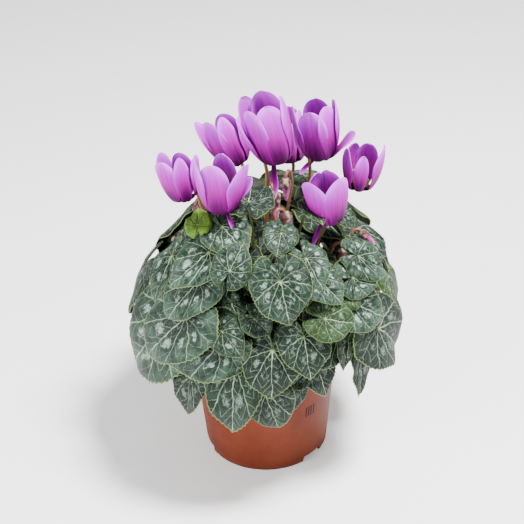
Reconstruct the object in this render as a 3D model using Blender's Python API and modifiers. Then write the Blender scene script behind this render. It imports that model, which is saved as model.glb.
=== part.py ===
"""Potted cyclamen: a flowering cyclamen tuber in a 12 cm plastic nursery pot.

Metres and degrees, +Z up. The origin is the middle of the pot's foot, on the surface that it stands on,
and the front of the plant faces -Y. The pot, the potting mix, the tuber and every leaf, flower stem,
corolla and bud is a solid of its own. Leaves overlap like roof tiles over a domed canopy: each one is
laid over the leaves before it in LEAVES, lifted just enough to clear them. Stalks run from the tuber's
crown and are eased apart until none touches another or a blade.
"""

import math

import bmesh
import bpy
import numpy as np
from mathutils import Matrix, Vector

MM = 0.001
CLEARANCE = 0.35 * MM            # gap between pieces that rest on each other

# Pot
POT_HEIGHT = 97 * MM
POT_BASE_RADIUS = 45 * MM
POT_WALL_SLOPE = 0.084           # outward growth of the wall for each unit of height
POT_WALL = 1.6 * MM
POT_COLLAR_HEIGHT = 14 * MM
POT_COLLAR_STEP = 3.2 * MM
POT_FLOOR_HEIGHT = 5 * MM        # the floor is raised inside the foot skirt
POT_FLOOR_THICKNESS = 2 * MM
NOTCH_BEARINGS = (47, 167, 287)  # drainage notches in the foot skirt
NOTCH_WIDTH, NOTCH_HEIGHT = 18 * MM, 4.5 * MM
DRAIN_HOLES, DRAIN_HOLE_RADIUS, DRAIN_RING_RADIUS = 6, 4.5 * MM, 27 * MM

# Potting mix and tuber
MIX_TOP = 82 * MM
TUBER_RADIUS, TUBER_HALF_HEIGHT, TUBER_MIDDLE = 27 * MM, 13 * MM, 78 * MM

# Canopy: a dome of revolution that the leaves lie on
CANOPY_CENTRE = np.array([0, 0, 100 * MM])
CANOPY_REACH, CANOPY_RISE, CANOPY_DROP = 95 * MM, 110 * MM, 74 * MM
CANOPY_POWER_UP, CANOPY_POWER_DOWN = 2.2, 3.0
BLADE_THICKNESS = 0.9 * MM
BLADE_BEND_RADIUS = 100 * MM     # blades bend with the dome
BLADE_SPACING = 1.7 * MM         # least distance between the mid-surfaces of stacked blades
LEAST_SLOPE = 0.35               # rays from the canopy's centre that graze a blade don't count as covered
JOINT_LIFTS, TIP_LIFTS = (-20, 21), (-14, 22)  # how far a blade's ends may lie off the dome (mm)
JOINT_REST, TIP_REST = -8 * MM, -2 * MM        # where they lie with nothing under them

# Stalks and stems
STALK_RADIUS, FLOWER_STEM_RADIUS = 1.15 * MM, 1.25 * MM
STALK_SPACING = 3.0 * MM         # least distance between the middles of two stalks
STALK_POINTS = 24                # points along each stalk's line
STALK_BLADE_GAP = 2.6 * MM       # least distance of a stalk's middle from another leaf's blade
STALK_ABOVE_RIM, STALK_ABOVE_MIX = 4 * MM, 3 * MM
RIM_BAND = (42 * MM, 66 * MM)    # distances from the axis at which a stalk has to pass over the pot's rim
EASE_TURNS = 140

# Corollas and buds
PETALS, PETAL_GAP, PETAL_STEP = 5, 104, 64     # the wide gap lets the stem through (degrees)
PETAL_FOOT = (4.0 * MM, 0.4 * MM)              # where a petal leaves the mouth: radius and height
PETAL_FIRST_HEADING, PETAL_TURN_LENGTH = 125, 0.07
PETAL_THICKNESS = 0.8 * MM
HOOK_RADIUS, HOOK_HEIGHT, HOOK_RISE = 4.4 * MM, 8.4 * MM, 2 * MM
BUD_HOOK_RADIUS = 3.6 * MM

# Leaves, innermost first: bearing and height of the stalk joint, bearing and height of the tip, width
# factor, roll about the midrib, depth under the canopy's surface (mm), and whether the leaf is a solid
# here. The small leaves that aren't solids only keep their room.
LEAVES = (
    # low skirt, hanging over the pot
    (95, 8, 97, -16, 1.0, 0, 4, True), (158, 8, 156, -16, 1.0, -6, 4, True),
    (221, 8, 224, -15, 1.0, -5, 4, True), (281, 8, 284, -12, 0.9, -4, 4, False),
    (14, 3, 10, -11, 0.8, 20, 5, False), (23, 14, 27, -4, 0.8, 10, 5, False),
    (50, 8, 43, -11, 0.8, 12, 2, True), (-41, 14, -45, -4, 0.8, -10, 4, False),
    (19, 11, 9, 5, 0.8, 0, 12, False),
    (127, 10, 130, -14, 1.1, 5, 0, True), (189, 10, 186, -13, 1.05, 4, -4, True),
    (252, 9, 250, -14, 1.1, 6, 0, True), (0, 4, 5, -15, 0.85, 0, 0, True),
    (-33, 6, -34, -12, 0.8, -12, 0, True),
    # middle ring
    (33, 22, 18, 11, 0.8, 0, 12, False), (37, 20, 34, 7, 0.7, 12, 10, False),
    (44, 21, 35, 13, 0.9, 15, 8, False),
    (-53, 34, -57, 21, 0.8, 0, 6, False), (55, 33, 64, 22, 0.7, 30, 8, False),
    (-17, 40, -11, 33, 0.9, 0, 8, False),
    (110, 30, 108, 4, 1.0, 6, 2, True), (174, 31, 171, 5, 1.05, 4, -3, True),
    (238, 30, 234, 5, 1.05, 5, 2, True), (82, 26, 86, 4, 0.9, 0, 0, True),
    (-50, 24, -76, -11, 0.75, 0, 0, True), (-12, 16, -14, -15, 0.62, 0, 0, True),
    (143, 28, 147, 5, 1.0, -5, 0, True), (205, 28, 208, 4, 1.0, -6, 0, True),
    (268, 27, 264, 2, 0.9, 0, 0, True),
    (3, 23, 2, 3, 0.95, 0, 0, True), (51, 19, 73, -4, 0.75, 0, 0, True),
    (-19, 25, -42, 10, 0.8, 0, 0, True), (-17, 30, -8, 21, 0.9, 0, 4, False),
    (16, 27, 17, 10, 0.95, 0, 0, True),
    # upper ring
    (39, 34, 53, 22, 1.0, 0, 2, True), (-33, 32, -54, 8, 0.72, 0, 0, True),
    (38, 36, 45, 31, 0.9, 0, 4, False), (42, 41, 61, 37, 0.8, 0, 6, False),
    (-66, 47, -60, 30, 0.85, 0, 2, True), (24, 32, 36, 27, 1.1, 0, 0, True),
    (-4, 35, 3, 29, 1.0, 10, 0, False), (130, 47, 122, 26, 1.0, 0, 0, True),
    (198, 50, 201, 27, 1.0, -5, 0, False),
    (160, 48, 158, 26, 1.0, 6, 0, True), (236, 49, 238, 26, 1.0, 0, 0, False),
    (88, 48, 84, 28, 0.9, 0, 0, False), (276, 46, 272, 25, 0.9, 0, 0, False),
    (-29, 45, -43, 27, 0.72, 0, 0, True), (51, 46, 66, 34, 0.8, 0, 0, True),
    (24, 46, 32, 34, 0.9, 0, 2, False), (-27, 54, -43, 39, 0.8, 0, 0, True),
    (-4, 51, 2, 43, 0.9, 0, 2, False),
    (22, 52, 25, 40, 1.0, 0, 0, False), (7, 46, 10, 31, 1.05, 0, 0, True),
    # crown
    (-26, 62, -6, 53, 0.95, 0, 2, True), (-14, 47, -8, 57, 1.0, -10, 0, True),
    (11, 59, 6, 51, 1.1, 0, 0, False),
    (59, 53, 80, 43, 0.75, 0, 0, False), (-38, 59, -48, 65, 1.0, 0, 0, False),
    (130, 68, 126, 50, 0.9, 0, 0, False),
    (205, 68, 210, 50, 0.9, 0, 0, False), (262, 66, 258, 48, 0.9, 0, 0, False),
    (55, 60, 82, 62, 0.8, 0, 0, False),
    (41, 67, 36, 58, 0.8, 0, 0, False), (25, 70, 23, 61, 0.9, 0, 0, False),
    (-9, 69, -18, 82, 0.95, 0, 0, False),
)

# Flowers: mouth of the corolla (mm), bearing and angle of its lean, bearing of the stem's side, petal
# length (mm), and turn of the first petal about the corolla's axis
FLOWERS = (
    ((-50, -6, 204), (-90, 8), 105, 37, 10),
    ((-24, -47, 217), (-60, 6), 150, 42, 35),
    ((-14, 22, 216), (-90, 20), 180, 42, 0),
    ((12, -15, 234), (-80, 14), -110, 50, 20),
    ((41, 5, 226), (-70, 8), -60, 43, 50),
    ((23, 38, 208), (-120, 10), 180, 40, 15),
    ((44, -35, 200), (-60, 8), -170, 40, 40),
    ((67, 13, 198), (90, 6), -90, 37, 5),
)

# Buds: base of the calyx (mm), bearing and height of the tip from there, length (mm), bearing of the hook
BUDS = (
    ((8, -25, 218), (60, -82), 22, 180),
    ((17, -6, 217), (10, -84), 17, 150),
    ((15, -36, 208), (75, -72), 19, -60),
    ((54, -20, 171), (-40, -80), 16, -75),
    ((66, -14, 180), (70, -40), 14, -90),
    ((-58, 12, 166), (-95, -70), 15, 90),
    ((-44, 13, 189), (60, -82), 14, 130),
)


# ---------------------------------------------------------------- directions and the canopy dome

def unit(vectors):
    return vectors / np.linalg.norm(vectors, axis=-1, keepdims=True)


def bearing(azimuth, height):
    """Unit vector; azimuth turns from the front (-Y) towards +X, height is up from the horizon."""
    a, h = math.radians(azimuth), math.radians(height)
    return np.array([math.cos(h) * math.sin(a), -math.cos(h) * math.cos(a), math.sin(h)])


def canopy_point(azimuth, height):
    """Point of the dome in a direction from its centre: a superellipse, fuller below than above."""
    way = bearing(azimuth, height)
    power, tall = (CANOPY_POWER_UP, CANOPY_RISE) if height >= 0 else (CANOPY_POWER_DOWN, CANOPY_DROP)
    flat = math.hypot(way[0], way[1]) / CANOPY_REACH
    reach = (flat ** power + (abs(way[2]) / tall) ** power) ** (-1 / power)
    return CANOPY_CENTRE + reach * way


# ---------------------------------------------------------------- leaf blades

def heart_outline(angle):
    """Distance of a blade's edge from the stalk joint, as a share of the joint-to-tip length.

    The angle is 0 at the tip; a narrow cleft runs in to the joint at 180 degrees."""
    off_cleft = (math.pi - np.abs(angle)) / 0.17
    round_part = 0.59 + 0.10 * ((1 + np.cos(angle)) / 2) ** 2 + 0.31 * np.exp(-np.abs(angle) / 0.42)
    return round_part * (1 - 0.85 * np.exp(-off_cleft ** 2))


class Blade:
    """Frame of one leaf blade: its joint, and unit vectors along the midrib, sideways and outwards."""

    def __init__(self, row, joint_lift, tip_lift):
        joint_azimuth, joint_height, tip_azimuth, tip_height, self.width, roll, _, _ = row
        joint, tip = canopy_point(joint_azimuth, joint_height), canopy_point(tip_azimuth, tip_height)
        outward = unit((joint + tip) / 2 - CANOPY_CENTRE)
        joint = joint + outward * joint_lift
        tip = tip + outward * tip_lift
        self.joint, self.length = joint, float(np.linalg.norm(tip - joint))
        self.along = unit(tip - joint)
        face = unit(outward - np.dot(outward, self.along) * self.along)
        side = np.cross(face, self.along)
        turn = math.radians(roll)
        self.face = math.cos(turn) * face + math.sin(turn) * side
        self.side = np.cross(self.face, self.along)

    def rise(self, x, y):
        """Height of the mid-surface over the blade's plane: an arch along the midrib that droops sideways."""
        return (x * (self.length - x) - y * y) / (2 * BLADE_BEND_RADIUS)

    def points(self, shares, angles):
        """Surface points at shares (0..1) of the way from the joint to the edge, in the given angles."""
        reach = self.length * shares[:, None] * heart_outline(angles)[None, :]
        x, y = reach * np.cos(angles), reach * np.sin(angles) * self.width
        x = np.where(x < 0, x * self.width, x)
        flat = np.stack([x, y, self.rise(x, y)], axis=-1).reshape(-1, 3)
        return self.joint + flat @ np.array([self.along, self.side, self.face])

    def reach_along(self, ways):
        """Distance from the canopy's centre to this blade along unit rays, the rays' slope to it, and
        whether they pass through it."""
        slope = np.maximum(ways @ self.face, LEAST_SLOPE)
        base = np.dot(self.joint - CANOPY_CENTRE, self.face)
        reach = base / slope
        for _ in range(6):
            x, y, z = self.local(CANOPY_CENTRE + reach[:, None] * ways).T
            miss = z - self.rise(x, y)
            reach = reach - np.clip(0.8 * miss / slope, -20 * MM, 20 * MM)
        met = (self.inside(x, y) > -BLADE_SPACING) & (np.abs(miss) < 0.5 * MM)
        return reach, slope, met & (ways @ self.face > LEAST_SLOPE)

    def inside(self, x, y):
        """How far points of the blade's plane lie inside its edge; negative outside."""
        y = y / self.width
        x = np.where(x < 0, x / self.width, x)
        return self.length * heart_outline(np.arctan2(y, x)) - np.hypot(x, y)

    def local(self, points):
        return (points - self.joint) @ np.array([self.along, self.side, self.face]).T


def lay_blades():
    """Lay the leaves in turn: the least lifts of joint and tip that clear every blade before.

    A sample's need is how far the blades under it reach out beyond it, plus the spacing. A blade is
    straight between its lifts, so a pair of lifts serves when its straight line meets every need."""
    shares, angles = np.linspace(0.12, 1, 8), np.radians(np.arange(-177, 180, 7.5))
    joint_lift, tip_lift = np.meshgrid(np.arange(*JOINT_LIFTS) * MM, np.arange(*TIP_LIFTS) * MM)
    pairs = np.column_stack([joint_lift.ravel(), tip_lift.ravel()])
    cost = pairs.sum(axis=1) + 0.4 * np.abs(pairs[:, 1] - pairs[:, 0] - 5 * MM)
    pairs = pairs[np.argsort(cost, kind="stable")]
    blades = []
    for row in LEAVES:
        depth = row[6] * MM
        usable = pairs[(pairs[:, 0] >= JOINT_REST - depth) & (pairs[:, 1] >= TIP_REST - depth)]
        pick = usable[0]
        for _ in range(5):
            blade = Blade(row, *pick)
            points = blade.points(shares, angles)
            part_way = ((points - blade.joint) @ blade.along / blade.length)[:, None]
            weights = np.hstack([1 - part_way, part_way])
            need = weights @ pick + overlap_need(points, blades)
            enough = np.all(usable @ weights.T >= need - 0.05 * MM, axis=1)
            pick = usable[int(np.argmax(enough))] if enough.any() else usable[-1]
        blades.append(Blade(row, *pick))
    return blades


def overlap_need(points, blades):
    """How much further from the canopy's centre each point has to be to clear the blades laid so far."""
    arms = points - CANOPY_CENTRE
    distance = np.linalg.norm(arms, axis=1)
    ways = arms / distance[:, None]
    need = np.full(len(points), -1.0)
    for blade in blades:
        reach, slope, covered = blade.reach_along(ways)
        lack = reach + BLADE_SPACING / slope - distance
        need = np.where(covered, np.maximum(need, lack), need)
    return need


# ---------------------------------------------------------------- stalks and flower stems

def bezier(knots, count):
    """Points along a Bezier curve of any degree through its first and last knots."""
    along = np.linspace(0, 1, count)[:, None]
    degree = len(knots) - 1
    return sum(math.comb(degree, k) * along ** k * (1 - along) ** (degree - k) * knot
               for k, knot in enumerate(knots))


def crown_feet(ways):
    """Feet of the stalks on the tuber's crown: the steepest in the middle, then eased apart."""
    steep = np.argsort(np.argsort([-way[2] for way in ways]))
    ring = (TUBER_RADIUS - 4 * MM) * np.sqrt((steep + 0.5) / len(ways))
    flat = np.array([unit(way[:2] + 1e-6) for way in ways])
    spots = flat * ring[:, None]
    for _ in range(200):
        apart = spots[:, None] - spots[None]
        distance = np.linalg.norm(apart, axis=2) + np.eye(len(spots))
        push = np.clip(STALK_SPACING * 1.35 - distance, 0, None) / distance
        spots = spots + 0.3 * (apart * push[..., None]).sum(axis=1)
        size = np.linalg.norm(spots, axis=1, keepdims=True)
        spots = spots * np.minimum(1, (TUBER_RADIUS - 2 * MM) / size)
    drop = np.sqrt(1 - (spots ** 2).sum(axis=1) / TUBER_RADIUS ** 2)
    height = TUBER_MIDDLE + TUBER_HALF_HEIGHT * drop + CLEARANCE
    return np.column_stack([spots, height])


def crown_normal(foot):
    flat = foot[:2] / TUBER_RADIUS ** 2
    return unit(np.array([flat[0], flat[1], (foot[2] - TUBER_MIDDLE) / TUBER_HALF_HEIGHT ** 2]))


def ease_apart(lines, held, owners, blades):
    """Move the inner points of all lines until no two lines and no line and blade are too close.

    held is how many points at each line's end keep their place, owners the blade each line carries."""
    lines = lines.copy()
    count, points = lines.shape[:2]
    which = np.repeat(np.arange(count), points)
    free = np.ones((count, points, 1))
    free[:, :2] = 0
    for line, kept in enumerate(held):
        free[line, points - kept:] = 0
    near = None
    for turn in range(EASE_TURNS):
        flat = lines.reshape(-1, 3)
        if turn % 10 == 0:
            gram = flat @ flat.T
            size = np.diag(gram)
            square = size[:, None] + size[None] - 2 * gram
            near = np.nonzero(np.triu((square < (3 * STALK_SPACING) ** 2)
                                      & (which[:, None] != which[None])))
        apart = flat[near[0]] - flat[near[1]]
        distance = np.linalg.norm(apart, axis=1, keepdims=True) + 1e-9
        push = apart / distance * np.clip(STALK_SPACING * 1.15 - distance, 0, None) * 0.5
        shift = np.zeros_like(flat)
        np.add.at(shift, near[0], push)
        np.add.at(shift, near[1], -push)
        shift += blade_push(flat, which, owners, blades)
        inside = np.linalg.norm(flat[:, :2], axis=1)
        over_rim = (inside > RIM_BAND[0]) & (inside < RIM_BAND[1])
        least = np.where(over_rim, POT_HEIGHT + STALK_ABOVE_RIM, MIX_TOP + STALK_ABOVE_MIX)
        shift[:, 2] += np.clip(least - flat[:, 2], 0, None)
        lines += np.clip(shift, -2 * MM, 2 * MM).reshape(lines.shape) * free
        smooth = lines.copy()
        smooth[:, 1:-1] = (lines[:, :-2] + lines[:, 2:]) / 2
        lines += 0.25 * (smooth - lines) * free
    return lines


def blade_push(flat, which, owners, blades):
    """Sideways push, out past the nearest edge, on points that come too close to a blade."""
    shift = np.zeros_like(flat)
    for number, blade in enumerate(blades):
        x, y, z = blade.local(flat).T
        depth = blade.inside(x, y) + STALK_BLADE_GAP
        off = z - blade.rise(x, y)
        hit = (np.abs(off) < STALK_BLADE_GAP) & (depth > 0) & (owners[which] != number)
        out = unit(np.stack([x, y, 0 * x], axis=1) + 1e-9)[hit]
        away = out * np.clip(depth, 0, 3 * MM)[hit, None] * 0.5
        away[:, 2] += np.sign(off[hit]) * (STALK_BLADE_GAP - np.abs(off[hit])) * 0.5
        shift[hit] += away @ np.array([blade.along, blade.side, blade.face])
    return shift


def leaf_route(foot, blade):
    """First route of a leaf stalk: up from the crown, out under the canopy, down into its blade."""
    end = blade.joint - blade.face * 0.9 * MM - blade.along * 0.5 * MM
    droop = np.array([0, 0, -1]) + blade.face[2] * blade.face
    arrival = blade.face * 0.55 + droop * 0.83
    reach = np.linalg.norm(end - foot)
    start = foot + reach * 0.4 * unit(np.array([foot[0] * 12, foot[1] * 12, 1.0]))
    return bezier((foot, foot + crown_normal(foot) * 6 * MM, start, end - arrival * reach * 0.3, end),
                  STALK_POINTS)


class Flower:
    """Frame of a nodding flower: mouth of the corolla, axis up through the calyx, side of the stem."""

    def __init__(self, row):
        mouth, lean, stem_bearing, length, self.turn = row
        self.mouth = np.array(mouth) * MM
        self.length = length * MM
        self.up = bearing(lean[0], 90 - lean[1])
        side = bearing(stem_bearing, 0)
        self.side = unit(side - np.dot(side, self.up) * self.up)
        self.across = np.cross(self.up, self.side)

    def place(self, outward, around, height):
        """World point at a distance from the axis, an angle from the stem's side and a height."""
        flat = np.cos(around)[..., None] * self.side + np.sin(around)[..., None] * self.across
        return self.mouth + outward[..., None] * flat + height[..., None] * self.up

    def hook(self):
        """Top of the stem: up beside the mouth, over in a tight bend and down into the calyx."""
        bend = np.linspace(math.pi, 0, 7)
        outward = np.concatenate([[2 * HOOK_RADIUS + 0.6 * MM], HOOK_RADIUS * (1 - np.cos(bend))])
        height = np.concatenate([[-HOOK_RISE], HOOK_HEIGHT + HOOK_RADIUS * np.sin(bend)])
        return self.place(outward, np.zeros(len(outward)), height)


class Bud:
    """Frame of a nodding bud: base of its calyx, way to its tip, and the hook that carries it."""

    def __init__(self, row):
        base, (azimuth, height), length, hook_bearing = row
        self.base = np.array(base) * MM
        self.way = bearing(azimuth, height)
        self.length = length * MM
        side = bearing(hook_bearing, 0)
        self.side = unit(side - np.dot(side, self.way) * self.way)

    def hook(self):
        """Top of the stem: a half circle that ends in the calyx, heading along the bud."""
        bend = np.linspace(math.pi, 0, 7)[:, None]
        return (self.base + BUD_HOOK_RADIUS * (1 - np.cos(bend)) * self.side
                + (0.3 * MM - BUD_HOOK_RADIUS * np.sin(bend)) * self.way)


def stem_route(foot, hook):
    """First route of a flower or bud stem: straight up from the crown and into its hook."""
    start = hook[0]
    rise = start[2] - foot[2]
    below = start - unit(hook[1] - hook[0]) * rise * 0.3
    return np.concatenate([bezier((foot, foot + crown_normal(foot) * rise * 0.3, below, start),
                                  STALK_POINTS - len(hook) + 1)[:-1], hook])


def route_stalks(blades, flowers, buds):
    """Centre lines of every leaf stalk, flower stem and bud stem, in that order."""
    hooks = [flower.hook() for flower in flowers] + [bud.hook() for bud in buds]
    aims = [blade.joint for blade in blades] + [hook[0] + [0, 0, 60 * MM] for hook in hooks]
    feet = crown_feet([unit(aim - CANOPY_CENTRE) for aim in aims])
    lines = [leaf_route(foot, blade) for foot, blade in zip(feet, blades)]
    lines += [stem_route(foot, hook) for foot, hook in zip(feet[len(blades):], hooks)]
    held = [2] * len(blades) + [len(hook) + 1 for hook in hooks]
    owners = np.array(list(range(len(blades))) + [-1] * len(hooks))
    return ease_apart(np.array(lines), held, owners, blades)


# ---------------------------------------------------------------- Blender objects

def material(name, colour, roughness):
    finish = bpy.data.materials.new(name)
    finish.use_nodes = True
    shader = finish.node_tree.nodes["Principled BSDF"]
    shader.inputs["Base Color"].default_value = (*colour, 1)
    shader.inputs["Roughness"].default_value = roughness
    finish.diffuse_color = (*colour, 1)
    return finish


def add_object(name, mesh, collection, finish=None):
    piece = bpy.data.objects.new(name, mesh)
    if finish:
        mesh.materials.append(finish)
    collection.objects.link(piece)
    return piece


def grid_mesh(name, rows):
    """Open sheet over a rows x columns x 3 array of points."""
    lines, columns = rows.shape[:2]
    faces = [(r * columns + c, r * columns + c + 1, (r + 1) * columns + c + 1, (r + 1) * columns + c)
             for r in range(lines - 1) for c in range(columns - 1)]
    mesh = bpy.data.meshes.new(name)
    mesh.from_pydata(rows.reshape(-1, 3).tolist(), [], faces)
    return mesh


def turned(name, profile, segments, collection, finish=None):
    """Solid of revolution about +Z; the profile is a closed loop of (radius, height)."""
    mesh = bpy.data.meshes.new(name)
    count = len(profile)
    closed = profile[0][0] > 0 and profile[-1][0] > 0
    edges = [(k, k + 1) for k in range(count - 1)] + ([(count - 1, 0)] if closed else [])
    mesh.from_pydata([(radius, 0, height) for radius, height in profile], edges, [])
    piece = add_object(name, mesh, collection, finish)
    spin = piece.modifiers.new("Turn", "SCREW")
    spin.steps = spin.render_steps = segments
    spin.use_merge_vertices = True
    spin.merge_threshold = 0.00002
    spin.use_smooth_shade = True
    return piece


def boolean(piece, operation, other):
    cut = piece.modifiers.new(operation.title(), "BOOLEAN")
    cut.operation = operation
    cut.solver = "EXACT"
    cut.use_self = operation == "UNION"
    cut.object = other
    return cut


def hide_guide(guide):
    guide.hide_render = True
    guide.display_type = "WIRE"
    return guide


def tube(name, points, radius, collection, finish=None):
    """Round stalk along a line, as a closed mesh made from a bevelled curve."""
    curve = bpy.data.curves.new(name, "CURVE")
    curve.dimensions = "3D"
    spline = curve.splines.new("POLY")
    spline.points.add(len(points) - 1)
    for point, place in zip(spline.points, points):
        point.co = (*place, 1)
    curve.bevel_depth = radius
    curve.bevel_resolution = 1
    curve.use_fill_caps = True
    holder = bpy.data.objects.new(name + "_line", curve)
    collection.objects.link(holder)
    mesh = bpy.data.meshes.new_from_object(holder.evaluated_get(bpy.context.evaluated_depsgraph_get()))
    bpy.data.objects.remove(holder)
    bpy.data.curves.remove(curve)
    welded = bmesh.new()
    welded.from_mesh(mesh)
    bmesh.ops.remove_doubles(welded, verts=welded.verts, dist=0.00001)
    bmesh.ops.recalc_face_normals(welded, faces=welded.faces)
    welded.to_mesh(mesh)
    welded.free()
    mesh.name = name
    return add_object(name, mesh, collection, finish)


def thin_line(points, tolerance):
    """The line without the points that lie within a tolerance of a straight run."""
    keep = [0]
    for k in range(1, len(points) - 1):
        start, end = points[keep[-1]], points[k + 1]
        way = unit(end - start)
        between = points[keep[-1] + 1:k + 1] - start
        off = np.linalg.norm(between - (between @ way)[:, None] * way, axis=1)
        if off.max() > tolerance:
            keep.append(k)
    return points[keep + [len(points) - 1]]


def placed(piece, origin, up, side):
    """Stand a turned piece on a point, with its +Z along up and its +X along side."""
    side = unit(side - np.dot(side, up) * up)
    turn = Matrix(np.array([side, np.cross(up, side), up]).T.tolist()).to_4x4()
    piece.matrix_world = Matrix.Translation(Vector(origin)) @ turn
    return piece


# ---------------------------------------------------------------- pieces

def pot_radius(height):
    return POT_BASE_RADIUS + POT_WALL_SLOPE * height


def make_pot(parts, guides):
    """Turned shell: foot skirt, raised floor, sloping wall and a collar, with notches and drain holes."""
    finish = material("pot_plastic", (0.52, 0.13, 0.07), 0.45)
    collar = POT_HEIGHT - POT_COLLAR_HEIGHT
    floor = POT_FLOOR_HEIGHT + POT_FLOOR_THICKNESS
    outer = [(pot_radius(POT_HEIGHT) + POT_COLLAR_STEP - 1 * MM, POT_HEIGHT),
             (pot_radius(POT_HEIGHT) + POT_COLLAR_STEP, POT_HEIGHT - 1 * MM),
             (pot_radius(collar) + POT_COLLAR_STEP, collar), (pot_radius(collar), collar - 1.5 * MM),
             (pot_radius(1 * MM), 1 * MM), (pot_radius(0) - 0.6 * MM, 0)]
    inner = [(pot_radius(0) - POT_WALL, 0),
             (pot_radius(0) - POT_WALL, POT_FLOOR_HEIGHT), (0, POT_FLOOR_HEIGHT), (0, floor),
             (pot_radius(floor) - POT_WALL, floor), (pot_radius(collar) - POT_WALL, collar),
             (pot_radius(collar) + POT_COLLAR_STEP - POT_WALL, collar + 2 * MM),
             (pot_radius(POT_HEIGHT) + POT_COLLAR_STEP - POT_WALL, POT_HEIGHT)]
    shell = outer + inner
    axis = next(k for k, point in enumerate(shell) if point[0] == 0) + 1
    pot = turned("pot", shell[axis:] + shell[:axis], 48, parts, finish)
    for number, notch in enumerate(NOTCH_BEARINGS):
        bpy.ops.mesh.primitive_cube_add(size=1)
        block = bpy.context.object
        block.name = f"notch_{number + 1}"
        block.data.transform(Matrix.Diagonal((NOTCH_WIDTH, 20 * MM, NOTCH_HEIGHT * 2, 1)))
        block.location = Vector(bearing(notch, 0) * POT_BASE_RADIUS)
        block.rotation_euler = (0, 0, math.radians(notch))
        move_to(block, guides)
        boolean(pot, "DIFFERENCE", hide_guide(block))
    for number in range(DRAIN_HOLES):
        bpy.ops.mesh.primitive_cylinder_add(vertices=12, radius=DRAIN_HOLE_RADIUS, depth=8 * MM)
        drill = bpy.context.object
        drill.name = f"drain_{number + 1}"
        drill.location = Vector(bearing(17 + number * 360 / DRAIN_HOLES, 0) * DRAIN_RING_RADIUS)
        drill.location.z = POT_FLOOR_HEIGHT + POT_FLOOR_THICKNESS / 2
        move_to(drill, guides)
        boolean(pot, "DIFFERENCE", hide_guide(drill))


def move_to(piece, collection):
    for owner in list(piece.users_collection):
        owner.objects.unlink(piece)
    collection.objects.link(piece)


def tuber_point(angle, grow=0.0):
    height = TUBER_MIDDLE + (TUBER_HALF_HEIGHT + grow) * math.sin(angle)
    return (TUBER_RADIUS + grow) * math.cos(angle), height


def make_mix_and_tuber(parts):
    """Potting mix that fills the pot to below its collar, with the flattened tuber half sunk in it."""
    bark = material("potting_mix", (0.05, 0.032, 0.02), 0.95)
    floor = POT_FLOOR_HEIGHT + POT_FLOOR_THICKNESS + CLEARANCE
    wall = POT_WALL + CLEARANCE
    rest = math.asin((MIX_TOP - TUBER_MIDDLE) / (TUBER_HALF_HEIGHT + CLEARANCE))
    socket = [tuber_point(a, CLEARANCE) for a in np.linspace(-math.pi / 2, rest, 9)]
    socket[0] = (0, socket[0][1])
    outside = [(pot_radius(MIX_TOP) - wall, MIX_TOP), (pot_radius(floor) - wall, floor), (0, floor)]
    turned("potting_mix", socket + outside, 24, parts, bark)
    profile = [tuber_point(a) for a in np.linspace(math.pi / 2, -math.pi / 2, 11)]
    profile[0], profile[-1] = (0, profile[0][1]), (0, profile[-1][1])
    turned("tuber", profile, 18, parts, material("tuber_skin", (0.16, 0.08, 0.05), 0.85))


def make_leaf(name, blade, line, parts, guides, finish):
    """One leaf: a thickened heart-shaped blade, joined to the top of its stalk."""
    angles = np.radians((0, 15, 40, 68, 96, 124, 150, 170, 180))
    angles = np.concatenate([angles, -angles[-2:0:-1]])
    shares = np.array([0.0, 0.55, 1.0])
    points = blade.points(shares, angles)[len(angles) - 1:]
    count = len(angles)
    faces = [(0, 1 + k, 1 + (k + 1) % count) for k in range(count)]
    faces += [(1 + k, 1 + count + k, 1 + count + (k + 1) % count, 1 + (k + 1) % count)
              for k in range(count)]
    mesh = bpy.data.meshes.new(name)
    mesh.from_pydata(points.tolist(), [], faces)
    leaf = add_object(name, mesh, parts, finish)
    skin = leaf.modifiers.new("Thickness", "SOLIDIFY")
    skin.thickness = BLADE_THICKNESS
    skin.offset = 0
    stalk = tube(name + "_stalk", thin_line(line, 0.4 * MM), STALK_RADIUS, guides)
    boolean(leaf, "UNION", hide_guide(stalk))


def petal_rows(flower, around, spread, columns, lines):
    """Grid of points over one reflexed petal: out of the mouth, back over its lip and up.

    The heading turns from outwards to a steady spread from the axis within the first tenth; the width
    swells to the middle and closes to a blunt tip."""
    along = np.linspace(0, 1, 61)
    heading = np.radians(spread + (PETAL_FIRST_HEADING - spread) * np.exp(-along / PETAL_TURN_LENGTH))
    step = flower.length / 60
    outward = PETAL_FOOT[0] + np.concatenate([[0], np.cumsum(np.sin(heading[:-1]) * step)])
    height = PETAL_FOOT[1] + np.concatenate([[0], np.cumsum(np.cos(heading[:-1]) * step)])
    pick = np.linspace(0, 1, lines) ** 1.2
    outward, height = np.interp(pick, along, outward), np.interp(pick, along, height)
    width = flower.length * (0.055 + 0.30 * pick ** 0.9 * (1 - pick ** 3) ** 0.6)
    width[-1] = flower.length * 0.05
    across = np.linspace(-1, 1, columns)
    side = width[:, None] * across[None]
    inward = -0.12 * side ** 2 / (flower.length * 0.2) * pick[:, None]
    angle = around + np.arctan2(side, outward[:, None])
    reach = np.hypot(outward[:, None], side) + inward
    return flower.place(reach, angle, np.broadcast_to(height[:, None], angle.shape))


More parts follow.
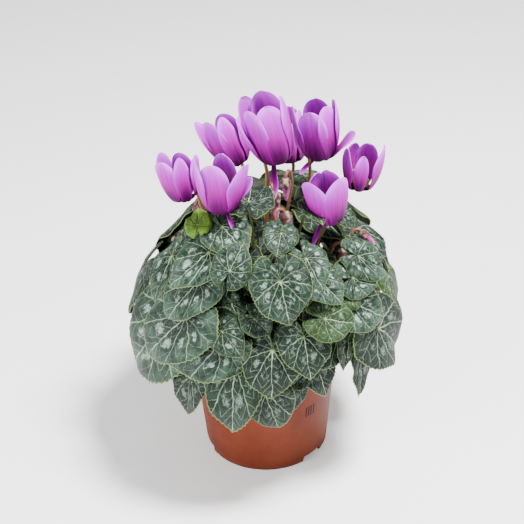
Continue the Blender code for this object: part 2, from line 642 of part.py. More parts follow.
def make_corolla(name, flower, parts, guides, finish):
    """Corolla: a short bell, open below, whose five petals fold back from the mouth and stand up."""
    bell = [(0, 6.8), (2.2, 6.6), (3.9, 5.4), (4.4, 3.5), (4.1, 1.0), (3.7, 0),
            (4.6, 0), (4.9, 1.0), (5.2, 3.5), (4.6, 6.0), (2.5, 7.4), (0, 7.6)]
    corolla = turned(name, [(r * MM, h * MM) for r, h in bell], 10, parts, finish)
    placed(corolla, flower.mouth, flower.up, flower.side)
    for number in range(PETALS):
        around = math.radians(PETAL_GAP / 2 + number * PETAL_STEP)
        spread = 16 + 7 * math.sin(math.radians(flower.turn) + 2.4 * number)
        sheet = grid_mesh(f"{name}_petal_{number + 1}", petal_rows(flower, around, spread, 3, 6))
        petal = hide_guide(add_object(sheet.name, sheet, guides))
        skin = petal.modifiers.new("Thickness", "SOLIDIFY")
        skin.thickness = PETAL_THICKNESS
        skin.offset = 0
        boolean(corolla, "UNION", petal)


def make_flower_stem(name, flower, line, parts, guides, finish):
    """Flower stem: a round stalk that hooks over into the calyx, a small cup over the bell's top."""
    stem = tube(name, thin_line(line, 0.2 * MM), FLOWER_STEM_RADIUS, parts, finish)
    cup = [(0, 7.95), (2.7, 7.75), (5.0, 6.25), (5.7, 4.8), (6.3, 4.9), (5.6, 6.9), (3.4, 8.9), (0, 9.4)]
    calyx = turned(name + "_calyx", [(r * MM, h * MM) for r, h in cup], 10, guides)
    placed(calyx, flower.mouth, flower.up, flower.side)
    boolean(stem, "UNION", hide_guide(calyx))


def make_bud(name, bud, line, parts, guides, finish):
    """Bud: calyx and furled petals as one tapering body on its hooked stem."""
    stem = tube(name, thin_line(line, 0.2 * MM), FLOWER_STEM_RADIUS, parts, finish)
    body = [(0, 1.0), (0.10, 0.97), (0.13, 0.8), (0.16, 0.6), (0.23, 0.4), (0.25, 0.2), (0.16, 0.04), (0, 0)]
    profile = [(r * bud.length * 0.8, h * bud.length) for r, h in body[::-1]]
    spindle = turned(name + "_body", profile, 8, guides)
    placed(spindle, bud.base, bud.way, bud.side)
    boolean(stem, "UNION", hide_guide(spindle))


def build():
    for leftover in list(bpy.data.objects):
        bpy.data.objects.remove(leftover, do_unlink=True)
    parts = bpy.data.collections.new("Potted cyclamen")
    guides = bpy.data.collections.new("Cutters")
    bpy.context.scene.collection.children.link(parts)
    bpy.context.scene.collection.children.link(guides)

    blades = lay_blades()
    flowers = [Flower(row) for row in FLOWERS]
    buds = [Bud(row) for row in BUDS]
    lines = route_stalks(blades, flowers, buds)

    make_pot(parts, guides)
    make_mix_and_tuber(parts)
    leaf_green = material("leaf", (0.05, 0.13, 0.07), 0.5)
    number = 0
    for row, blade, line in zip(LEAVES, blades, lines):
        if row[7]:
            number += 1
            make_leaf(f"leaf_{number:02d}", blade, line, parts, guides, leaf_green)
    petal_pink = material("petal", (0.45, 0.08, 0.6), 0.5)
    stem_brown = material("stem", (0.22, 0.08, 0.04), 0.5)
    bud_brown = material("bud", (0.2, 0.08, 0.1), 0.55)
    stems = lines[len(blades):]
    for number, (flower, line) in enumerate(zip(flowers, stems), 1):
        make_flower_stem(f"flower_{number}_stem", flower, line, parts, guides, stem_brown)
        make_corolla(f"flower_{number}_corolla", flower, parts, guides, petal_pink)
    for number, (bud, line) in enumerate(zip(buds, stems[len(flowers):]), 1):
        make_bud(f"bud_{number}", bud, line, parts, guides, bud_brown)


build()
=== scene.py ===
import math
from functools import partial

import bmesh
import bpy
import numpy as np
from mathutils import Matrix, Vector


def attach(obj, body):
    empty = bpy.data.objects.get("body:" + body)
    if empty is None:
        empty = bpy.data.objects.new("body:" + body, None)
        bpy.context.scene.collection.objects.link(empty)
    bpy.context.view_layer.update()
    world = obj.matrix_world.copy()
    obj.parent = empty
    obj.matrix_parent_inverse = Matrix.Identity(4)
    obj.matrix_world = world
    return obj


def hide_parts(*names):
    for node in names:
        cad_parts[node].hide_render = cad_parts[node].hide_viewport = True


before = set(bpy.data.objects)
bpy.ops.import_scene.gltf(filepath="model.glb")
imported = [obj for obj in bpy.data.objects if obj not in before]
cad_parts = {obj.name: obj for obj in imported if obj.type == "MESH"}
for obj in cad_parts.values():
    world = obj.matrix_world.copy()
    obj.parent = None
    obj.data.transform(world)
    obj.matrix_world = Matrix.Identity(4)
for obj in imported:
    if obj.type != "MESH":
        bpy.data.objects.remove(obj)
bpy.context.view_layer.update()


# Pot: a 12 cm nursery pot, injection-moulded in terracotta-coloured polypropylene. The wall runs up from
# a foot skirt with three drainage notches to a wider collar; the floor is raised and drilled. Moulding
# leaves it satin, with faint flow marks, and handling leaves dust on it.

MM = 0.001
POT_HEIGHT, POT_BASE_RADIUS, POT_WALL_SLOPE, POT_WALL = 97 * MM, 45 * MM, 0.084, 1.6 * MM
COLLAR_HEIGHT, COLLAR_STEP = 14 * MM, 3.2 * MM
FLOOR_HEIGHT, FLOOR_THICKNESS = 5 * MM, 2 * MM
NOTCH_BEARINGS, NOTCH_WIDTH, NOTCH_HEIGHT = (47, 167, 287), 18 * MM, 4.5 * MM
DRAIN_HOLES, DRAIN_HOLE_RADIUS, DRAIN_RING_RADIUS, FIRST_HOLE = 6, 4.5 * MM, 27 * MM, 17
COLOUR_MIX = {"output": 2, "data_type": "RGBA"}


def linear(hex_colour):
    """Linear RGBA of an sRGB hex colour."""
    srgb = np.array([int(hex_colour[k:k + 2], 16) / 255 for k in (1, 3, 5)])
    return (*np.where(srgb <= 0.04045, srgb / 12.92, ((srgb + 0.055) / 1.055) ** 2.4), 1)


def plug(finish, links, node=None):
    """Give a node's inputs, by name or in order, a number, a hex colour or another node's output.

    Without a node, they are those of the finish's Principled shader."""
    node = node or finish.node_tree.nodes["Principled BSDF"]
    for name, value in links.items() if isinstance(links, dict) else enumerate(links):
        if isinstance(value, bpy.types.NodeSocket):
            finish.node_tree.links.new(value, node.inputs[name])
        else:
            node.inputs[name].default_value = linear(value) if isinstance(value, str) else value


def add_node(finish, kind, links=(), output=0, stops=(), **settings):
    """Add a shader node with its links, settings and colour stops; returns one of its outputs."""
    node = finish.node_tree.nodes.new("ShaderNode" + kind)
    for name, value in settings.items():
        setattr(node, name, value)
    for number, (position, colour) in enumerate(stops):
        elements = node.color_ramp.elements
        stop = elements[number] if number < 2 else elements.new(position)
        stop.position, stop.color = position, linear(colour)
    plug(finish, links, node)
    return node.outputs[output]


def new_finish(name, **sockets):
    """Material with one Principled shader and the given constant sockets."""
    finish = bpy.data.materials.new(name)
    finish.use_nodes = True
    plug(finish, {label.replace("_", " "): value for label, value in sockets.items()})
    return finish


def sheet_mesh(name, points, wrap=False, smooth=True):
    """Mesh over a grid of points: rows x columns x 3. With wrap, the last column joins the first."""
    rows, columns = points.shape[:2]
    index = np.arange(rows * columns).reshape(rows, columns)
    right = np.roll(index, -1, axis=1) if wrap else index[:, 1:]
    left = index if wrap else index[:, :-1]
    faces = np.stack([left[:-1], right[:-1], right[1:], left[1:]], axis=-1).reshape(-1, 4)
    mesh = bpy.data.meshes.new(name)
    mesh.from_pydata(points.reshape(-1, 3), [], faces.tolist())
    mesh.polygons.foreach_set("use_smooth", np.full(len(faces), smooth))
    return mesh


def add_piece(name, mesh, finishes, nodes):
    """Link a finished piece, which rides on the plant's one body and stands for CAD nodes."""
    piece = bpy.data.objects.new(name, mesh)
    for finish in finishes:
        mesh.materials.append(finish)
    bpy.context.scene.collection.objects.link(piece)
    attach(piece, "root")
    for node in nodes:
        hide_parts(node)
    return piece


def full_turn(count):
    """Angles all the way round, in equal steps."""
    return np.linspace(0, 2 * math.pi, count, endpoint=False)


def turned_points(profile, columns):
    """Profile rows (radius, height) carried round +Z in equal steps."""
    angle = full_turn(columns)
    radius, height = np.asarray(profile, float).T
    return np.stack([radius[:, None] * np.cos(angle), radius[:, None] * np.sin(angle),
                     np.broadcast_to(height[:, None], (len(radius), columns))], axis=-1)


def pot_radius(height):
    return POT_BASE_RADIUS + POT_WALL_SLOPE * height


def rounded(centre, radius, start, end, steps=5):
    """Arc of a profile: centre (radius, height), from one angle to another in degrees."""
    angle = np.radians(np.linspace(start, end, steps))
    return np.column_stack([centre[0] + radius * np.cos(angle), centre[1] + radius * np.sin(angle)])


def pot_profile():
    """Closed profile of the pot, up the outside, over the rim, down the inside and under the floor."""
    collar, floor = POT_HEIGHT - COLLAR_HEIGHT, FLOOR_HEIGHT + FLOOR_THICKNESS
    wide = lambda height: pot_radius(height) + COLLAR_STEP
    lip = POT_WALL / 2
    return np.concatenate([
        [(pot_radius(0) - POT_WALL, 0), (pot_radius(0) - 0.5 * MM, 0)],
        [(pot_radius(h), h) for h in np.linspace(0.6 * MM, collar - 2.2 * MM, 24)],
        rounded((pot_radius(collar) + 1.2 * MM, collar - 1.6 * MM), 1.2 * MM, 180, 90),
        rounded((wide(collar) - 0.8 * MM, collar + 0.4 * MM), 0.8 * MM, -90, 0),
        [(wide(h), h) for h in np.linspace(collar + 2 * MM, POT_HEIGHT - 1.4 * MM, 6)],
        rounded((wide(POT_HEIGHT) - lip, POT_HEIGHT - lip), lip, 0, 180, 9),
        [(wide(collar) - POT_WALL, collar + 2 * MM), (pot_radius(collar) - POT_WALL, collar - 1 * MM)],
        [(pot_radius(floor) - POT_WALL, floor), (0.02 * MM, floor), (0.02 * MM, FLOOR_HEIGHT),
         (pot_radius(0) - POT_WALL, FLOOR_HEIGHT)]])


def weld(mesh, distance=2e-6):
    """Join the points that coincide at seams and poles; leaves the attributes and the faces' order."""
    work = bmesh.new()
    work.from_mesh(mesh)
    bmesh.ops.remove_doubles(work, verts=work.verts, dist=distance)
    bmesh.ops.dissolve_degenerate(work, edges=work.edges, dist=distance)
    work.to_mesh(mesh)
    work.free()
    return mesh


def notch_lift(angle):
    """Height of the pot's bottom edge at a bearing: zero, and NOTCH_HEIGHT inside the three notches."""
    off = (angle[:, None] - np.radians(NOTCH_BEARINGS)[None] + math.pi) % (2 * math.pi) - math.pi
    inside = np.abs(off).min(axis=1) * POT_BASE_RADIUS < NOTCH_WIDTH / 2
    return np.where(inside, NOTCH_HEIGHT, 0)


def join_meshes(name, parts):
    """One mesh from several, which are used up."""
    work = bmesh.new()
    for part in parts:
        work.from_mesh(part)
        bpy.data.meshes.remove(part)
    mesh = bpy.data.meshes.new(name)
    work.to_mesh(mesh)
    work.free()
    return mesh


def drain_cutters():
    """Upright cylinders through the floor, one for each hole on the ring."""
    low, high = FLOOR_HEIGHT - 2 * MM, FLOOR_HEIGHT + FLOOR_THICKNESS + 2 * MM
    profile = [(0, low), (DRAIN_HOLE_RADIUS, low), (DRAIN_HOLE_RADIUS, high), (0, high)]
    ways = np.radians(FIRST_HOLE + np.arange(DRAIN_HOLES) * 360 / DRAIN_HOLES)
    return join_meshes("drain_cutters", [
        weld(sheet_mesh("drain_cutter", turned_points(profile, 32) + DRAIN_RING_RADIUS * np.array(
            [math.sin(way), -math.cos(way), 0]), wrap=True)) for way in ways])


def make_pot_mesh():
    """Turned shell whose lowest rows follow the notches; the drain holes are cut through its floor."""
    profile = pot_profile()
    points = turned_points(np.vstack([profile, profile[:1]]), 320)
    bearings = np.arctan2(points[0, :, 0], -points[0, :, 1])
    lifted = np.maximum(points[..., 2], notch_lift(bearings)[None])
    points[..., 2] = np.where(points[..., 2] < NOTCH_HEIGHT, lifted, points[..., 2])
    shell = bpy.data.objects.new("pot_shell", weld(sheet_mesh("pot_shell", points, wrap=True)))
    cutter = bpy.data.objects.new("drain_cutters", drain_cutters())
    for piece in (shell, cutter):
        bpy.context.scene.collection.objects.link(piece)
    cut = shell.modifiers.new("Drain holes", "BOOLEAN")
    cut.object, cut.solver, cut.operation = cutter, "EXACT", "DIFFERENCE"
    drilled = bpy.data.meshes.new_from_object(shell.evaluated_get(bpy.context.evaluated_depsgraph_get()))
    for spent in (shell, cutter):
        bpy.data.objects.remove(spent)
    drilled.name = "pot"
    drilled.set_sharp_from_angle(angle=math.radians(40))
    return drilled


def pot_finish():
    """Satin terracotta-coloured polypropylene: faint mottling, flow marks and a trace of dust."""
    finish = new_finish("terracotta polypropylene", Specular_IOR_Level=0.1)
    node = partial(add_node, finish)
    where = node("TexCoord", output="Object")
    cloud = node("TexNoise", {"Vector": where, "Scale": 34.0, "Detail": 5.0, "Roughness": 0.6})
    speck = node("TexNoise", {"Vector": where, "Scale": 900.0, "Detail": 2.0})
    body = node("ValToRGB", (cloud,), stops=((0.3, "#582213"), (0.7, "#6C301C")))
    dust = node("MapRange", (speck, 0.62, 0.8, 0.0, 0.5))
    plug(finish, {"Base Color": node("Mix", {0: dust, 6: body, 7: "#7E4A34"}, **COLOUR_MIX),
                  "Roughness": node("MapRange", (cloud, 0.0, 1.0, 0.46, 0.62)),
                  "Normal": node("Bump", {"Height": speck, "Strength": 0.12, "Distance": 0.0003})})
    return finish


add_piece("pot_moulded", make_pot_mesh(), [pot_finish()], ["pot"])


# Pot mark: a short row of upright ticks, pad-printed on the wall in dark ink. It stands where a nursery
# would have its own mark, and is left plain.

def tick_mesh(bearings, bottom, top, width=0.8 * MM, proud=0.15 * MM, sunk=0.3 * MM):
    """Upright bars of ink: each is a thin box whose back lies in the wall at its bearing."""
    corners = np.meshgrid((-sunk, proud), (bottom, top), (-width / 2, width / 2), indexing="ij")
    reach, height, aside = (axis.ravel() for axis in corners)
    azimuth = np.radians(bearings)[:, None]
    out = pot_radius(height) + reach
    points = np.stack([np.sin(azimuth) * out + np.cos(azimuth) * aside,
                       -np.cos(azimuth) * out + np.sin(azimuth) * aside, height + 0 * azimuth], axis=-1)
    sides = np.array(((4, 5, 7, 6), (0, 2, 3, 1), (0, 4, 6, 2), (1, 3, 7, 5), (2, 6, 7, 3), (0, 1, 5, 4)))
    faces = sides + 8 * np.arange(len(bearings))[:, None, None]
    mesh = bpy.data.meshes.new("pot_mark")
    mesh.from_pydata(points.reshape(-1, 3), [], faces.reshape(-1, 4).tolist())
    return mesh


dark_print = new_finish("dark pad print", Base_Color="#1E0C06", Roughness=0.6, Specular_IOR_Level=0.1)
add_piece("pot_mark", tick_mesh((35, 37.5, 40, 43), 44 * MM, 53 * MM), [dark_print], [])


# Potting mix: peat and fine bark, filled to about 15 mm below the rim and settled round the tuber. Its
# top is dry, with crumbs 2 to 4 mm across.

MIX_TOP, CRUMBS, CRUMB_SIZES = 82 * MM, 1500, (0.8 * MM, 2.2 * MM)
TUBER_RADIUS, TUBER_HALF_HEIGHT, TUBER_MIDDLE = 27 * MM, 13 * MM, 78 * MM
CLEARANCE = 0.35 * MM


def crumbs(flat, count, seed, reach):
    """Height over a floor of half-buried balls: the highest sqrt(r^2 - distance^2) at each point."""
    random = np.random.default_rng(seed)
    centres = random.uniform(-reach, reach, (count, 2))
    radius = random.uniform(*CRUMB_SIZES, count)
    square = ((flat[:, None] - centres[None]) ** 2).sum(axis=2)
    return np.sqrt(np.clip(radius ** 2 - square, 0, None)).max(axis=1) * 0.8


def mix_mesh():
    """Turned block with a crumbly top: radius and height by row, crumbs added where the top is free."""
    wall = POT_WALL + CLEARANCE
    floor = FLOOR_HEIGHT + FLOOR_THICKNESS + CLEARANCE
    contact = TUBER_RADIUS * 0.95
    edge = pot_radius(MIX_TOP) - wall
    top = [(radius, MIX_TOP - 2 * MM) for radius in np.linspace(contact, edge - 0.5 * MM, 34)]
    profile = [(0.0, floor), (pot_radius(floor) - wall, floor), (edge, MIX_TOP - 3 * MM)] + top[::-1]
    profile += [(contact - 4 * MM, MIX_TOP - 3 * MM), (0.0, MIX_TOP - 3 * MM)]
    points = turned_points(profile, 260)
    free = points[..., 2] > MIX_TOP - 2.5 * MM
    points[..., 2][free] += crumbs(points[free][:, :2], CRUMBS, 5, edge)
    return weld(sheet_mesh("potting_mix", points, wrap=True))


def earth_finish():
    """Peat and composted bark: dark brown fibres with paler crumbs, dry and matt."""
    finish = new_finish("peat and bark", Roughness=0.95, Specular_IOR_Level=0.15)
    node = partial(add_node, finish)
    grain = node("TexVoronoi", {"Vector": node("TexCoord", output="Object"), "Scale": 620.0}).node.outputs
    plug(finish, {"Base Color": node("ValToRGB", (grain["Color"],), stops=((0, "#241811"), (1, "#5A4230"))),
                  "Normal": node("Bump", {"Height": grain["Distance"], "Strength": 0.6, "Distance": 0.0006})})
    return finish


add_piece("potting_mix_fill", mix_mesh(), [earth_finish()], ["potting_mix"])


# Tuber: a flattened ball, 54 mm across, with a brown corky skin. It sits a little over half sunk in the
# mix, and all leaf stalks and flower stems leave from its crown.

def tuber_mesh():
    """Spheroid with folds: its radii grow and shrink by a sum of waves in bearing and height."""
    polar = np.linspace(-math.pi / 2, math.pi / 2, 70)[:, None]
    angle = full_turn(140)[None]
    fold = (np.sin(5 * angle + 3 * polar) + np.sin(11 * angle - 7 * polar) * 0.6
            + np.sin(23 * angle + 17 * polar) * 0.4) * np.cos(polar) ** 2
    radius = TUBER_RADIUS * np.cos(polar) * (1 + 0.008 * (fold - 2))
    height = TUBER_MIDDLE + TUBER_HALF_HEIGHT * np.sin(polar) * (1 + 0.01 * (fold - 2)) + 0 * angle
    points = np.stack([radius * np.cos(angle), radius * np.sin(angle), height], axis=-1)
    return weld(sheet_mesh("tuber", points, wrap=True))


def cork_finish():
    """Cork skin of the tuber: grey-brown, cracked into fine scales, matt."""
    finish = new_finish("corky tuber skin", Roughness=0.9, Specular_IOR_Level=0.2)
    node = partial(add_node, finish)
    scale = node("TexVoronoi", {"Vector": node("TexCoord", output="Object"), "Scale": 240.0},
                 feature="DISTANCE_TO_EDGE")
    plug(finish, {"Base Color": node("ValToRGB", (scale,), stops=((0, "#33231A"), (0.2, "#6E5540"))),
                  "Normal": node("Bump", {"Height": scale, "Strength": 0.5, "Distance": 0.0005})})
    return finish


add_piece("tuber_cork", tuber_mesh(), [cork_finish()], ["tuber"])


# Leaves: heart-shaped blades on round fleshy stalks, overlapping over a domed canopy. Each is fleshy and
# stiff, with a scalloped edge, sunken veins and silver marbling, and is laid over the ones before it. The
# 34 large ones stand for the CAD leaves, and the small and young ones between and under them ride along.

CANOPY_CENTRE = np.array([0, 0, 100 * MM])
CANOPY_REACH, CANOPY_RISE, CANOPY_DROP = 95 * MM, 110 * MM, 74 * MM
CANOPY_POWER_UP, CANOPY_POWER_DOWN = 2.2, 3.0
BLADE_BEND_RADIUS = 100 * MM     # blades bend with the dome
BLADE_THICKNESS = 0.5 * MM
BLADE_SPACING = 1.7 * MM         # least distance between the mid-surfaces of stacked blades
LEAST_SLOPE = 0.35               # rays that graze a blade don't count as covered
JOINT_LIFTS, TIP_LIFTS = (-20, 21), (-14, 22)  # how far a blade's ends may lie off the dome (mm)
JOINT_REST, TIP_REST = -8 * MM, -2 * MM        # where they lie with nothing under them
LIFT_TRIES = 5
STALK_SPACING = 3.0 * MM         # least distance between the middles of two stalks
STALK_BLADE_GAP = 2.6 * MM       # and between a stalk's middle and another leaf's blade
STALK_ABOVE_RIM, STALK_ABOVE_MIX, RIM_BAND = 4 * MM, 3 * MM, (42 * MM, 66 * MM)
STALK_POINTS, CROWN_TURNS, EASE_TURNS = 24, 200, 140
HOOK_RADIUS, HOOK_RISE = 4.4 * MM, 8.4 * MM    # bend of a flower stem over its calyx
BUD_HOOK_RADIUS = 3.6 * MM
STALK_RADII = (1.2 * MM, 0.9 * MM)
TEETH = 34 * 1.6                 # scallops round a blade's edge
VEIN_STEP = math.radians(42)     # angle between the main veins at the joint
VEIN_BOW = 0.42                  # how far they bow towards the tip
BRANCH_OUT, BRANCH_IN = 7.5, 6.0  # branches per blade length: outwards, and less by the way to a vein
SMOOTH, TIMES = {"interpolation_type": "SMOOTHSTEP"}, {"operation": "MULTIPLY"}

# Rows as in the CAD part: bearing and height of the joint, bearing and height of the tip, width factor,
# roll, depth (mm), 1 for a CAD solid; then how silvery the blade is (0..1, None for a leaf that isn't
# grown) and its tone, from dark (-1) to bright young green (1).
LEAVES = (
    (95, 8, 97, -16, 1.0, 0, 4, 1, 0.4, -0.3), (158, 8, 156, -16, 1.0, -6, 4, 1, 0.7, 0),
    (221, 8, 224, -15, 1.0, -5, 4, 1, 0.55, 0.2), (281, 8, 284, -12, 0.9, -4, 4, 0, 0.3, -0.5),
    (14, 3, 10, -11, 0.8, 20, 5, 0, 0.35, -0.5), (23, 14, 27, -4, 0.8, 10, 5, 0, 0.3, -0.6),
    (50, 8, 43, -11, 0.8, 12, 2, 1, 0.45, -0.2), (-41, 14, -45, -4, 0.8, -10, 4, 0, 0.4, -0.4),
    (19, 11, 9, 5, 0.8, 0, 12, 0, 0.4, -0.4), (127, 10, 130, -14, 1.1, 5, 0, 1, 0.8, -0.5),
    (189, 10, 186, -13, 1.05, 4, -4, 1, 0.4, 0.1), (252, 9, 250, -14, 1.1, 6, 0, 1, 0.7, 0.4),
    (0, 4, 5, -15, 0.85, 0, 0, 1, 0.35, -0.5), (-33, 6, -34, -12, 0.8, -12, 0, 1, 0.35, -0.6),
    (33, 22, 18, 11, 0.8, 0, 12, 0, 0.3, -0.6), (37, 20, 34, 7, 0.7, 12, 10, 0, 0.3, -0.6),
    (44, 21, 35, 13, 0.9, 15, 8, 0, 0.45, -0.2), (-53, 34, -57, 21, 0.8, 0, 6, 0, 0.6, 0),
    (55, 33, 64, 22, 0.7, 30, 8, 0, 0.5, 0), (-17, 40, -11, 33, 0.9, 0, 8, 0, 0.5, 0),
    (110, 30, 108, 4, 1.0, 6, 2, 1, 0.4, 0.2), (174, 31, 171, 5, 1.05, 4, -3, 1, 0.7, -0.5),
    (238, 30, 234, 5, 1.05, 5, 2, 1, 0.55, 0.1), (82, 26, 86, 4, 0.9, 0, 0, 1, 0.3, 0.4),
    (-50, 24, -76, -11, 0.75, 0, 0, 1, 0.8, 0.1), (-12, 16, -14, -15, 0.62, 0, 0, 1, 0.45, -0.2),
    (143, 28, 147, 5, 1.0, -5, 0, 1, 0.7, 0.2), (205, 28, 208, 4, 1.0, -6, 0, 1, 0.55, -0.5),
    (268, 27, 264, 2, 0.9, 0, 0, 1, 0.3, 0.1), (3, 23, 2, 3, 0.95, 0, 0, 1, 0.35, -0.6),
    (51, 19, 73, -4, 0.75, 0, 0, 1, 0.35, -0.5), (-19, 25, -42, 10, 0.8, 0, 0, 1, 0.8, 0.2),
    (-17, 30, -8, 21, 0.9, 0, 4, 0, 0.5, 0), (16, 27, 17, 10, 0.95, 0, 0, 1, 0.35, -0.4),
    (39, 34, 53, 22, 1.0, 0, 2, 1, 0.85, 0.1), (-33, 32, -54, 8, 0.72, 0, 0, 1, 0.85, 0.2),
    (38, 36, 45, 31, 0.9, 0, 4, 0, 0.4, 0.4), (42, 41, 61, 37, 0.8, 0, 6, 0, 0.85, 0.2),
    (-66, 47, -60, 30, 0.85, 0, 2, 1, 0.85, 0.1), (24, 32, 36, 27, 1.1, 0, 0, 1, 0.45, 0.4),
    (-4, 35, 3, 29, 1.0, 10, 0, 0, 0.5, 0), (130, 47, 122, 26, 1.0, 0, 0, 1, 0.7, 0.4),
    (198, 50, 201, 27, 1.0, -5, 0, 0, 0.55, -0.3), (160, 48, 158, 26, 1.0, 6, 0, 1, 0.3, 0),
    (236, 49, 238, 26, 1.0, 0, 0, 0, None, 0), (88, 48, 84, 28, 0.9, 0, 0, 0, 0.4, -0.5),
    (276, 46, 272, 25, 0.9, 0, 0, 0, None, 0), (-29, 45, -43, 27, 0.72, 0, 0, 1, 0.85, 0.2),
    (51, 46, 66, 34, 0.8, 0, 0, 1, 0.8, 0.2), (24, 46, 32, 34, 0.9, 0, 2, 0, 0.85, 0.2),
    (-27, 54, -43, 39, 0.8, 0, 0, 1, 0.85, 0.2), (-4, 51, 2, 43, 0.9, 0, 2, 0, 0.8, 0.1),
    (22, 52, 25, 40, 1.0, 0, 0, 0, 0.8, 0.1), (7, 46, 10, 31, 1.05, 0, 0, 1, 0.55, 0),
    (-26, 62, -6, 53, 0.95, 0, 2, 1, 0.8, 0.1), (-14, 47, -8, 57, 1.0, -10, 0, 1, 0.5, 0),
    (11, 59, 6, 51, 1.1, 0, 0, 0, 0.55, 0), (59, 53, 80, 43, 0.75, 0, 0, 0, None, 0),
    (-38, 59, -48, 65, 1.0, 0, 0, 0, 0.2, 1.2), (130, 68, 126, 50, 0.9, 0, 0, 0, 0.8, 0.4),
    (205, 68, 210, 50, 0.9, 0, 0, 0, None, 0), (262, 66, 258, 48, 0.9, 0, 0, 0, None, 0),
    (55, 60, 82, 62, 0.8, 0, 0, 0, 0.4, 0.2), (41, 67, 36, 58, 0.8, 0, 0, 0, 0.3, 0.3),
    (25, 70, 23, 61, 0.9, 0, 0, 0, None, 0), (-9, 69, -18, 82, 0.95, 0, 0, 0, 0.3, -0.6),
)

# Flowers: mouth (mm), bearing and angle of the lean, bearing of the stem, petal length (mm)
FLOWERS = (
    ((-50, -6, 204), (-90, 8), 105, 37),
    ((-24, -47, 217), (-60, 6), 150, 42),
    ((-14, 22, 216), (-90, 20), 180, 42),
    ((12, -15, 234), (-80, 14), -110, 50),
    ((41, 5, 226), (-70, 8), -60, 43),
    ((23, 38, 208), (-120, 10), 180, 40),
    ((44, -35, 200), (-60, 8), -170, 40),
    ((67, 13, 198), (90, 6), -90, 37),
)

# Buds: base of the calyx (mm), bearing and height of the tip from there, length (mm), bearing of the hook
BUDS = (
    ((8, -25, 218), (60, -82), 22, 180),
    ((17, -6, 217), (10, -84), 17, 150),
    ((15, -36, 208), (75, -72), 19, -60),
    ((54, -20, 171), (-40, -80), 16, -75),
    ((66, -14, 180), (70, -40), 14, -90),
    ((-58, 12, 166), (-95, -70), 15, 90),
    ((-44, 13, 189), (60, -82), 14, 130),
)


def unit(vectors):
    return vectors / np.linalg.norm(vectors, axis=-1, keepdims=True)


def bearing(azimuth, height):
    """Unit vector; azimuth turns from the front (-Y) towards +X, height is up from the horizon."""
    a, h = math.radians(azimuth), math.radians(height)
    return np.array([math.cos(h) * math.sin(a), -math.cos(h) * math.cos(a), math.sin(h)])


def canopy_point(azimuth, height):
    """Point of the dome in a direction from its centre: a superellipse, fuller below than above."""
    way = bearing(azimuth, height)
    power, tall = (CANOPY_POWER_UP, CANOPY_RISE) if height >= 0 else (CANOPY_POWER_DOWN, CANOPY_DROP)
    flat = math.hypot(way[0], way[1]) / CANOPY_REACH
    reach = (flat ** power + (abs(way[2]) / tall) ** power) ** (-1 / power)
    return CANOPY_CENTRE + reach * way


def heart_outline(angle):
    """Distance of a blade's edge from the stalk joint, as a share of the joint-to-tip length.

    The angle is 0 at the tip; a narrow cleft runs in to the joint at 180 degrees."""
    off_cleft = (math.pi - np.abs(angle)) / 0.17
    round_part = 0.59 + 0.10 * ((1 + np.cos(angle)) / 2) ** 2 + 0.31 * np.exp(-np.abs(angle) / 0.42)
    return round_part * (1 - 0.85 * np.exp(-off_cleft ** 2))


class Blade:
    """Frame of one leaf blade: its joint, and unit vectors along the midrib, sideways and outwards."""

    def __init__(self, row, joint_lift, tip_lift):
        joint_azimuth, joint_height, tip_azimuth, tip_height, self.width, roll = row[:6]
        joint, tip = canopy_point(joint_azimuth, joint_height), canopy_point(tip_azimuth, tip_height)
        outward = unit((joint + tip) / 2 - CANOPY_CENTRE)
        joint = joint + outward * joint_lift
        tip = tip + outward * tip_lift
        self.joint, self.length = joint, float(np.linalg.norm(tip - joint))
        self.along = unit(tip - joint)
        face = unit(outward - np.dot(outward, self.along) * self.along)
        side = np.cross(face, self.along)
        turn = math.radians(roll)
        self.face = math.cos(turn) * face + math.sin(turn) * side
        self.side = np.cross(self.face, self.along)

    def rise(self, x, y):
        """Height of the mid-surface over the blade's plane: an arch along the midrib that droops sideways."""
        return (x * (self.length - x) - y * y) / (2 * BLADE_BEND_RADIUS)

    def points(self, shares, angles):
        """Surface points at shares (0..1) of the way from the joint to the edge, in the given angles."""
        reach = self.length * shares[:, None] * heart_outline(angles)[None, :]
        x, y = reach * np.cos(angles), reach * np.sin(angles) * self.width
        x = np.where(x < 0, x * self.width, x)
        flat = np.stack([x, y, self.rise(x, y)], axis=-1).reshape(-1, 3)
        return self.joint + flat @ np.array([self.along, self.side, self.face])

    def reach_along(self, ways):
        """Distance from the canopy's centre to this blade along unit rays, the rays' slope to it, and
        whether they pass through it."""
        slope = np.maximum(ways @ self.face, LEAST_SLOPE)
        base = np.dot(self.joint - CANOPY_CENTRE, self.face)
        reach = base / slope
        for _ in range(6):
            x, y, z = self.local(CANOPY_CENTRE + reach[:, None] * ways).T
            miss = z - self.rise(x, y)
            reach = reach - np.clip(0.8 * miss / slope, -20 * MM, 20 * MM)
        met = (self.inside(x, y) > -BLADE_SPACING) & (np.abs(miss) < 0.5 * MM)
        return reach, slope, met & (ways @ self.face > LEAST_SLOPE)

    def inside(self, x, y):
        """How far points of the blade's plane lie inside its edge; negative outside."""
        y = y / self.width
        x = np.where(x < 0, x / self.width, x)
        return self.length * heart_outline(np.arctan2(y, x)) - np.hypot(x, y)

    def local(self, points):
        return (points - self.joint) @ np.array([self.along, self.side, self.face]).T


